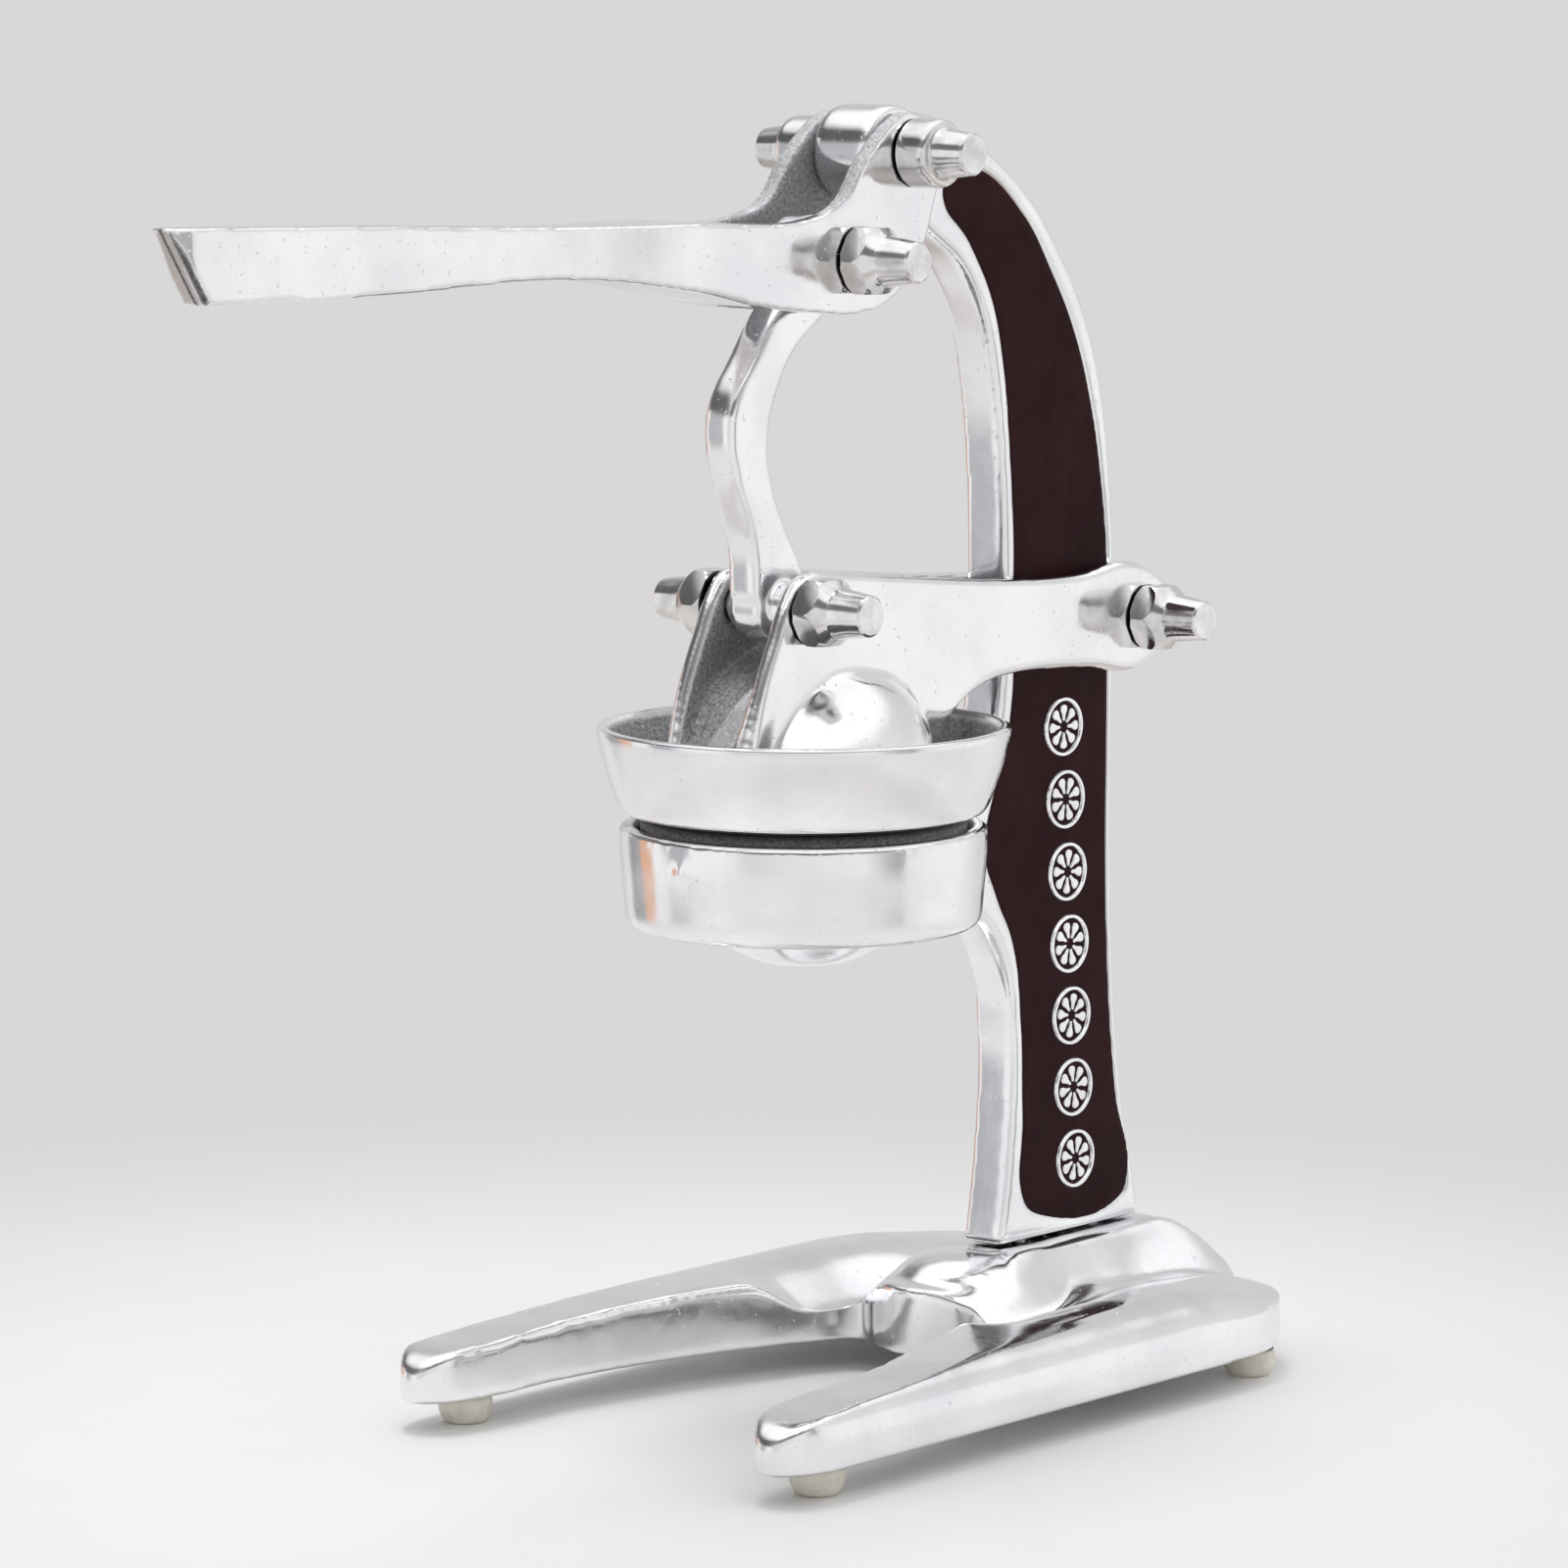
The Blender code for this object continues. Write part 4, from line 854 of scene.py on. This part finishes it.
def make_bowl():
    rim, top, foot = BOWL_RIM, BOWL_TOP, BOWL_FOOT
    floor = RING_TOP - 21.2
    bowl = turned("bowl_cast", [
        (rim - 1.5, top, S), (rim - 0.5, top - 0.25, S), (rim - 0.05, top - 1.2, S),
        (rim - 0.5, top - 4.0, S), (rim - 2.2, top - 10.8, S), (rim - 4.2, top - 17.0, S),
        (rim - 6.0, top - 21.4, S), (rim - 7.4, foot + 0.7, S), (rim - 9.0, foot),
        (RING_BORE - 0.4, foot), (RING_BORE - 0.5, floor), (34.0, floor), (34.0, floor + 3.0),
        (40.0, floor + 3.0, S), (41.3, floor + 5.0, S), (41.6, foot - 4.0, S), (45.8, foot + 2.2, S),
        (rim - 7.0, top - 14.0, S), (rim - 4.4, top - 6.0, S), (rim - 3.0, top - 0.8, S),
        (rim - 2.5, top - 0.1, S), (rim - 1.5, top, S),
    ], around=192, steps=4)
    store_skin_and_painted_shade(bowl, bowl_skin_gap_shade)
    return finish(bowl, ALUMINIUM, "root", ["upper_bowl"], 50.0)


def make_funnel():
    """A flanged dish on the ring's floor, with a short spout in its middle."""
    ledge = RING_LOW + RING_FLOOR + 0.3
    low = RING_LOW - 10.0
    flange = RING_BORE - 0.3
    funnel = turned("funnel_cast", [
        (flange, ledge + 2.5), (flange, ledge), (36.6, ledge), (35.0, low + 12.4, S),
        (31.0, low + 9.6, S), (25.0, low + 6.4, S), (17.5, low + 2.4, S), (13.0, low + 0.5, S),
        (9.5, low, S), (8.2, low + 0.3, S), (8.0, low + 1.2, S), (8.0, low + 2.7),
        (13.0, low + 3.2, S), (17.0, low + 5.0, S), (24.0, low + 8.8, S), (30.0, low + 12.2, S),
        (33.8, ledge + 1.0), (33.8, ledge + 2.5), (flange, ledge + 2.5),
    ], around=128, steps=4)
    return finish(funnel, ALUMINIUM, "root", ["drip_funnel"], 50.0)


# Rings of round holes: radius of the ring, number of holes, radius of a hole.
STRAINER_HOLES = ((36.5, 26, 1.5), (31.5, 22, 1.5), (24.5, 16, 1.5), (19.5, 14, 1.3), (14.8, 10, 1.2))


def make_strainer():
    low = RING_TOP - 17.9
    top = RING_TOP + 18.0
    strainer = turned("strainer_pressing", [
        (0.0, top), (3.0, top - 0.2, S), (6.0, top - 1.4, S), (8.2, top - 4.2, S),
        (14.0, top - 15.0, S), (21.0, low + 8.0, S), (27.0, low + 2.2, S), (31.0, low + 1.2, S),
        (40.6, low + 1.2), (41.0, low + 0.6), (40.6, low), (30.6, low, S), (26.3, low + 1.0, S),
        (20.2, low + 6.8, S), (13.0, top - 16.0, S), (7.2, top - 5.0, S), (5.2, top - 2.6, S),
        (0.0, top - 1.2),
    ], around=128, steps=4)
    holes = []
    for radius, count, size in STRAINER_HOLES:
        offset = 0.5 if count % 4 == 2 else 0.0
        for i in range(count):
            turn = math.tau * (i + offset) / count
            at = (radius * math.cos(turn), radius * math.sin(turn))
            holes.append(upright_rod("hole", size, low - 5.0, top + 5.0, at, 16))
    boolean(strainer, "DIFFERENCE", [joined("holes", holes)])
    return finish(strainer, SHEET, "root", ["strainer_cone"], 40.0)


# --- linkage ---

LEVER_HALF = 5.0
LINK_SLOT_RADIUS = PIN_RADIUS + 1.4
LINK_SLOT_RUN = Vector((-6.1, -1.9))
BELL_RADIUS = 40.0
BELL_WALL = 5.0
BELL_TOP = RING_TOP + 45.0
BELL_RIM = RING_TOP - 3.0
DOME_FULLNESS = 0.84
HANDLE_TIP_Y = -239.0
HANDLE_OUTLINE = above(PIVOT_HANDLE[1], [
    (HANDLE_TIP_Y, -11.0), (HANDLE_TIP_Y + 75.0, -13.2, S), (-106.0, -15.4, S), (-60.0, -16.0, S),
    (-10.6, -15.6, S), (-1.5, -12.0, S), (7.0, -1.5, S), (17.5, 7.5), (27.3, 10.9, S), (38.3, 0.0, S),
    (36.0, -14.0, S), (29.0, -29.0, S), (18.0, -39.0, S), (4.0, -42.4, S), (-10.0, -41.7, S),
    (-34.3, -38.8, S), (-62.0, -33.6, S), (-95.0, -29.7, S), (HANDLE_TIP_Y + 75.0, -30.7, S),
    (HANDLE_TIP_Y + 12.6, -30.7),
])
LINK_OUTLINE = above(PIVOT_LINK_FOOT[1], [
    (-6.5, 87.5), (-16.5, 79.6, S), (-26.0, 67.5, S), (-34.3, 55.5, S), (-35.6, 47.0, S),
    (-33.5, 36.0, S), (-26.6, 17.0, S), (-25.5, 3.0), (-6.0, -6.0), (-5.0, 7.5, S), (-12.5, 22.0, S),
    (-17.8, 33.5, S), (-19.4, 46.0, S), (-14.8, 60.0, S), (-8.3, 69.0, S), (2.0, 76.5, S),
    (15.5, 87.0),
])
ARM_OUTLINE = above(PIVOT_ARM[1], [
    (-12.0, 23.6), (20.0, 20.0, S), (73.0, 15.0, S), (99.0, 14.0, S), (131.0, 14.5, S), (145.4, 0.0, S),
    (131.0, -14.4, S), (104.0, -12.8, S), (73.0, -11.8, S), (60.0, -13.4, S), (48.0, -19.0, S),
    (40.0, -28.0, S), (33.0, -41.0), (-38.0, -41.0), (-40.5, -31.0, S), (-38.5, -19.0, S),
    (-34.5, -5.5, S), (-29.0, 6.5, S), (-24.0, 16.5, S), (-18.5, 22.3, S),
])
WEB_OUTLINE = above(PIVOT_ARM[1], [
    (3.0, 16.0), (14.0, 13.0), (30.0, -15.0), (20.0, -35.0), (-38.0, -37.0), (-38.0, -30.0, S),
    (-33.0, -19.0, S), (-27.0, -10.0, S), (-15.0, -2.5, S), (-3.0, 3.0, S), (1.5, 10.0, S),
])


def lever_plan():
    """The lever from above: a slim bar that widens to the fork."""
    tip = HANDLE_TIP_Y
    return mirrored([
        (0.0, tip - 10.0), (LEVER_HALF - 2.0, tip - 10.0), (LEVER_HALF - 2.0, tip),
        (LEVER_HALF - 1.2, tip + 4.5), (LEVER_HALF, tip + 8.0), (LEVER_HALF + 1.0, tip + 59.0, S),
        (LEVER_HALF + 1.3, tip + 119.0, S), (LEVER_HALF + 4.5, -92.0, S), (PLATE_OUTER - 0.8, -62.0, S),
        (PLATE_OUTER, -42.0, S), (PLATE_OUTER, 62.0), (0.0, 62.0),
    ])


def fork_slot():
    """The gap between the fork's plates, from above, with a round end."""
    gap = PLATE_INNER
    level = PIVOT_HANDLE[1]
    return plan_solid("slot", mirrored([
        (0.0, -30.0, S), (gap * 0.75, -26.5, S), (gap, -19.0), (gap, 70.0), (0.0, 70.0),
    ]), level - 65.0, level + 35.0)


def lever_skin_tip_shade(x, y, z, nx, ny, nz):
    """Grey in the fork and along its upper edge near the pivot, and painted shade lines on the sawn tip.
    """
    across = np.abs(x)
    slot_end = (1.0 - rise(across, 9.0, 11.0)) * rise(ny, 0.2, 0.6)
    in_fork = rise(y, -33.0, -29.0) * np.maximum(rise(-nx * np.sign(x), 0.3, 0.7), slot_end)
    # Grey skin on the faces that look up, near the pivot.
    upward = rise(nz - ny, 0.5, 1.0) * (1.0 - rise(np.abs(nx), 0.4, 0.75))
    upward_grey = 0.72 * rise(y, -14.0, -4.0) * upward
    # Painted shade: dark lines on the sawn tip face, with values above 1 that turn black.
    tip_face = rise(-ny, 0.35, 0.6) * (1.0 - rise(y, HANDLE_TIP_Y + 13.0, HANDLE_TIP_Y + 16.0))
    middle_shade_line = 1.75 * (1.0 - rise(np.abs(x - 0.5), 0.35, 0.8))
    side_shade_line = 1.65 * rise(x, 2.7, 3.2)
    return np.maximum(in_fork, upward_grey + tip_face * np.maximum(middle_shade_line, side_shade_line))


def make_handle():
    handle = side_solid("lever_cast", HANDLE_OUTLINE, -PLATE_OUTER, PLATE_OUTER)
    level = PIVOT_HANDLE[1]
    boolean(handle, "INTERSECT", [plan_solid("plan", lever_plan(), level - 55.0, level + 25.0)])
    casting(handle, [fork_slot(), pin_bore(PIVOT_HANDLE), pin_bore(PIVOT_LINK_TOP)], 20, FINE_VOXEL)
    store_skin_and_painted_shade(handle, lever_skin_tip_shade)
    return finish(handle, ALUMINIUM, "handle", ["lever_handle"])


def link_slot():
    """The open pivot of the linkage: a slot in the top eye, in which the handle's pin runs."""
    start = Vector(PIVOT_LINK_TOP)
    far = start + LINK_SLOT_RUN
    aside = (far - start).orthogonal().normalized() * LINK_SLOT_RADIUS
    corners = [tuple(start + aside), tuple(start - aside), tuple(far - aside), tuple(far + aside)]
    return [
        cross_rod("slot_one", LINK_SLOT_RADIUS, -20.0, 20.0, start),
        cross_rod("slot_two", LINK_SLOT_RADIUS, -21.0, 21.0, far),
        side_solid("slot_run", corners, -22.0, 22.0),
    ]


def make_link():
    half = LINK_HALF
    eye_centre = Vector(PIVOT_LINK_TOP) + LINK_SLOT_RUN / 2
    link = joined("link_cast", [
        side_solid("link", LINK_OUTLINE, -half, half, 1.8, round_steps=1),
        cross_rod("top_eye", LINK_SLOT_RADIUS + 8.1, -half, half, eye_centre),
        cross_rod("foot_eye", PIN_RADIUS + 5.5, -half, half, PIVOT_LINK_FOOT),
        cross_rod("foot_hub", PIN_RADIUS + 2.4, -BOSS_HALF, BOSS_HALF, PIVOT_LINK_FOOT),
    ])
    casting(link, link_slot() + [pin_bore(PIVOT_LINK_FOOT)], soften=16)
    return finish(link, ALUMINIUM, "link", ["c_link"])


def bell(name, radius, top, rim):
    """A domed solid of revolution, fuller than a sphere, down to the rim."""
    dome_height = top - rim + 2.0
    profile = [(0.0, top)]
    for i in range(1, 33):
        turn = math.radians(90.0 * i / 32.6)
        height = dome_height * (1 - math.cos(turn) ** DOME_FULLNESS)
        profile.append((radius * math.sin(turn) ** DOME_FULLNESS, top - height))
    return turned(name, profile + [(radius, rim), (0.0, rim)], around=128, steps=1)


def web_ridge(x):
    """Height of the ridge left across the web by the two halves of its mould."""
    return 178.0 + (x + 8.0) * 2.2


def fuller(x, y, z):
    """Draws the plates together below, leans the dome back, and sets the web back under its ridge."""
    across = np.abs(x)
    near = rise(-z, -206.0, -176.0) * rise(-y, 6.0, 20.0) * (1.0 - rise(across, 11.0, 15.0))
    inward = np.where(x > 0, 0.42, 0.1)
    radius = np.hypot(x, y)
    dome = rise(z, 180.0, 206.0) * rise(radius, 17.0, 22.0) * rise(across, 15.5, 17.0) * (radius < 41.0)
    web = (1.0 - rise(across, 8.0, 9.5)) * rise(z, 170.0, 173.0) * rise(-y, -14.0, -8.0)
    step = web * rise(web_ridge(x) - z, -2.0, 1.5)
    return x * (1.0 - inward * near), y + 2.4 * dome - 1.8 * step, z


def channel_skin(x, y, z, nx, ny, nz):
    """Grey in the channel between the plates, and paler on the web under its ridge."""
    across = np.abs(x)
    paler = 1.0 - 0.55 * rise(web_ridge(x) - z, -1.0, 2.0) * (across < 9.0)
    plates = rise(-nx * np.sign(x), 0.55, 0.85)
    plates *= 1.0 - rise(across, PLATE_INNER + 0.1, PLATE_INNER + 0.9)
    web = (1.0 - rise(across, 9.2, 10.0)) * rise(nz, -0.2, 0.2)
    return rise(z, 171.0, 175.0) * paler * np.maximum(plates, web)


def make_press_arm():
    inner, outer = PLATE_INNER, PLATE_OUTER
    arm = joined("press_arm_cast", [
        bell("bell", BELL_RADIUS, BELL_TOP, BELL_RIM),
        side_solid("plate_right", ARM_OUTLINE, inner, outer, 2.0),
        side_solid("plate_left", ARM_OUTLINE, -outer, -inner, 2.0),
        side_solid("web", WEB_OUTLINE, -inner - 1.0, inner + 1.0),
    ])
    hollow = bell("hollow", BELL_RADIUS - BELL_WALL, BELL_TOP - BELL_WALL, BELL_RIM - 20.0)
    casting(arm, [hollow, pin_bore(PIVOT_LINK_FOOT), pin_bore(PIVOT_ARM)], soften=34)
    reshaped(arm, fuller)
    store_skin_and_painted_shade(arm, channel_skin)
    return finish(arm, ALUMINIUM, "press_arm", ["press_arm"])


# --- pins and taper nuts ---

HEX_RADIUS = PIN_RADIUS + 6.2
PIN_REACH = 30.0
PIVOTS = {
    "handle": (PIVOT_HANDLE, "root"), "link_top": (PIVOT_LINK_TOP, "handle"),
    "link_foot": (PIVOT_LINK_FOOT, "press_arm"), "arm": (PIVOT_ARM, "root"),
}


def collar_nut(name, pivot):
    """The nut with a round collar, at the handle's pivot."""
    face, end = NUT_FACE, NUT_END
    return turned(name, [
        (0.0, end), (5.2, end), (5.8, end - 0.6), (6.3, end - 5.0, S), (6.8, face + 11.4, S),
        (7.3, face + 10.6, S), (8.7, face + 10.0, S), (9.3, face + 8.8, S), (9.4, face + 5.0, S),
        (9.4, face + 0.8), (8.9, face), (0.0, face),
    ], at=pivot, around=96, steps=5, axis="X")


def hexagon_nut(name, pivot):
    """The nut with six flats that run out in its tapered neck."""
    face, end = NUT_FACE, NUT_END
    taper = turned(name, [
        (0.0, end), (5.0, end), (5.6, end - 0.5), (6.1, end - 4.0, S), (6.8, end - 9.5, S),
        (7.3, face + 9.8, S), (8.2, face + 8.6, S), (9.5, face + 7.0, S), (10.3, face + 4.8, S),
        (10.35, face + 2.4, S), (9.3, face + 0.6, S), (8.6, face), (0.0, face),
    ], at=pivot, around=96, steps=5, axis="X")
    flats = cross_rod("hexagon", HEX_RADIUS, face - 1.0, end + 1.0, pivot, 6)
    return boolean(taper, "INTERSECT", [flats])


def edges_broken(obj):
    edge = obj.modifiers.new("edge", "BEVEL")
    edge.width = 0.22 * MM
    edge.segments = 2
    edge.limit_method = "ANGLE"
    edge.angle_limit = math.radians(24.0)
    edge.use_clamp_overlap = True
    return applied(obj)


def make_pivots():
    """A pin through each pivot, and a taper nut on each of its ends."""
    for place, (pivot, body) in PIVOTS.items():
        pin = turned("rod_" + place, [
            (0.0, PIN_REACH), (PIN_RADIUS - 0.5, PIN_REACH), (PIN_RADIUS, PIN_REACH - 0.5),
            (PIN_RADIUS, -PIN_REACH + 0.5), (PIN_RADIUS - 0.5, -PIN_REACH), (0.0, -PIN_REACH),
        ], at=pivot, around=48, steps=1, axis="X")
        finish(pin, STEEL, body, ["pin_" + place], 30.0)
        nut_of = collar_nut if place == "handle" else hexagon_nut
        for side, sign in SIDES:
            nut = edges_broken(nut_of(f"taper_nut_{place}_{side}", pivot))
            if sign < 0:
                to_left(nut)
            finish(nut, NUT_STEEL, body, [f"nut_{place}_{side}"], 28.0)


# --- feet and fasteners ---


def make_foot(place):
    """A rubber foot, open round the head of its screw."""
    centre = middle("foot_" + place)
    foot = turned("rubber_foot_" + place, [
        (6.5, 7.7), (7.3, 6.8, S), (7.5, 5.0, S), (7.2, 2.8, S), (6.3, 1.0, S), (5.4, 0.15, S),
        (4.7, 0.0), (3.1, 0.0), (3.1, 4.6), (1.9, 4.6), (1.9, 7.7), (6.9, 7.7),
    ], at=(centre.x / MM, (centre.y - BOWL_Y) / MM), around=64, steps=5)
    return finish(foot, RUBBER, "root", ["foot_" + place], 50.0)


def dress(node, surface):
    """Gives a CAD node that is shown as it is its surface."""
    slots = frame["nodes"][node].data.materials
    slots.clear()
    slots.append(surface)


def make_feet_and_fasteners():
    for end in ("front", "rear"):
        for side in ("left", "right"):
            make_foot(f"{end}_{side}")
            dress(f"foot_screw_{end}_{side}", STEEL)
        dress("column_bolt_" + end, STEEL)
        dress("column_washer_" + end, STEEL)


# --- studio ---

CAMERA_AZIMUTH = 40.989
CAMERA_PITCH = 7.567
CAMERA_PLACE = (1.1563, -1.3388, 0.4095)
LENS_MM = 150.75
SENSOR_MM = 36.0
FLOOR_RADIUS = 0.9
FLOOR_FADE_START = 0.1
FLOOR_FADE_END = 0.52
LAMP_PLACE = (-0.38, 0.12, 2.2)
LAMP_SIZE = 0.6
LAMP_POWER = 14.0


def grey(level):
    """A grey with the least touch of blue."""
    return (level, level, level * 1.01)


# Light round the horizon, as (azimuth in degrees, colour): cards, gaps and warm wood in the room.
HORIZON = [
    (-180, grey(0.75)), (-155, grey(0.66)), (-125, grey(0.64)), (-104, grey(0.8)), (-94, grey(0.35)),
    (-84, grey(0.4)), (-79, (0.85, 0.46, 0.3)), (-72, (0.8, 0.48, 0.34)), (-67, grey(0.95)),
    (-58, grey(0.95)), (-50, grey(0.5)), (-40, (0.5, 0.5, 0.53)), (-30, grey(0.95)), (-14, grey(0.95)),
    (8, grey(0.72)), (40, grey(0.8)), (75, grey(0.9)), (104, grey(0.45)), (112, grey(0.85)),
    (128, grey(0.95)), (150, grey(0.96)), (168, grey(0.85)), (180, grey(0.75)),
]
# The same for the darker band between the horizon and the ceiling.
UPPER_WALL = [
    (-180, grey(0.7)), (-135, grey(0.6)), (-98, grey(0.2)), (-50, grey(0.12)), (-10, grey(0.3)),
    (40, grey(0.2)), (90, grey(0.4)), (120, grey(0.85)), (180, grey(0.7)),
]
CEILING = (1.15, 1.15, 1.16)
TABLE = (0.82, 0.815, 0.81)
UNDER_TABLE = (0.46, 0.4, 0.37)
BACKDROP = (0.694, 0.683, 0.68)


def make_camera():
    data = bpy.data.cameras.new("camera")
    data.sensor_width = SENSOR_MM
    data.lens = LENS_MM
    data.clip_end = 50.0
    camera = keep(bpy.data.objects.new("camera", data))
    camera.location = Vector(CAMERA_PLACE) + Vector((0.0, BOWL_Y, 0.0))
    camera.rotation_euler = (math.radians(90.0 - CAMERA_PITCH), 0.0, math.radians(CAMERA_AZIMUTH))
    bpy.context.scene.camera = camera


def make_floor():
    shape = bmesh.new()
    bmesh.ops.create_circle(shape, cap_ends=True, segments=96, radius=FLOOR_RADIUS)
    floor = from_bmesh("floor", shape)
    floor.data.materials.append(pale_floor())


class Sky(Graph):
    """The studio round the press, as nodes on the direction that is looked in."""

    def __init__(self, name):
        super().__init__(bpy.data.worlds.new(name))
        split = self.nodes.new("ShaderNodeSeparateXYZ")
        direction = self.nodes.new("ShaderNodeTexCoord").outputs["Generated"]
        self.links.new(direction, split.inputs[0])
        self.height = split.outputs["Z"]
        forward = self.math("MULTIPLY", split.outputs["Y"], -1.0)
        azimuth = self.math("ARCTAN2", split.outputs["X"], forward)
        self.around = self.math("ADD", self.math("DIVIDE", azimuth, math.tau), 0.5)

    def band(self, stops):
        """A colour that changes with the azimuth."""
        made = self.nodes.new("ShaderNodeValToRGB")
        made.color_ramp.interpolation = "EASE"
        elements = made.color_ramp.elements
        while len(elements) < len(stops):
            elements.new(0.5)
        for element, (angle, colour) in zip(elements, stops):
            element.position = (angle + 180) / 360
            element.color = (*colour, 1.0)
        self.links.new(self.around, made.inputs["Fac"])
        return made.outputs["Color"]

    def past(self, start, end):
        """From 0 to 1 as the direction's height goes from start to end, down or up."""
        way = self.math("DIVIDE", self.math("SUBTRACT", self.height, start), end - start)
        return self.math("SMOOTH_MIN", self.math("MAXIMUM", way, 0.0), 1.0)


def make_world():
    """Cards on the horizon, a darker wall, a bright ceiling, the table; the camera sees a backdrop."""
    sky = Sky("studio")
    bpy.context.scene.world = sky.made
    walls = sky.mixed(sky.past(0.24, 0.34), sky.band(HORIZON), sky.band(UPPER_WALL))
    room = sky.mixed(sky.past(0.6, 0.72), walls, CEILING)
    room = sky.mixed(sky.past(-0.2, -0.32), room, TABLE)
    room = sky.mixed(sky.past(-0.5, -0.62), room, UNDER_TABLE)
    seen = sky.nodes.new("ShaderNodeLightPath").outputs["Is Camera Ray"]
    background = sky.nodes["Background"]
    sky.links.new(sky.mixed(seen, room, BACKDROP), background.inputs["Color"])


def make_lamp():
    data = bpy.data.lights.new("top_softbox", "AREA")
    data.size = LAMP_SIZE
    data.energy = LAMP_POWER
    lamp = keep(bpy.data.objects.new("top_softbox", data))
    lamp.location = LAMP_PLACE
    lamp.rotation_euler = (-Vector(LAMP_PLACE)).to_track_quat("-Z", "Y").to_euler()
    lamp.visible_camera = False


def make_studio():
    bpy.context.scene.view_settings.view_transform = "Standard"
    make_camera()
    make_floor()
    make_world()
    make_lamp()


make_base()
make_column()
make_panels()
make_bowl()
make_funnel()
make_strainer()
make_handle()
make_link()
make_press_arm()
make_pivots()
make_feet_and_fasteners()
make_studio()
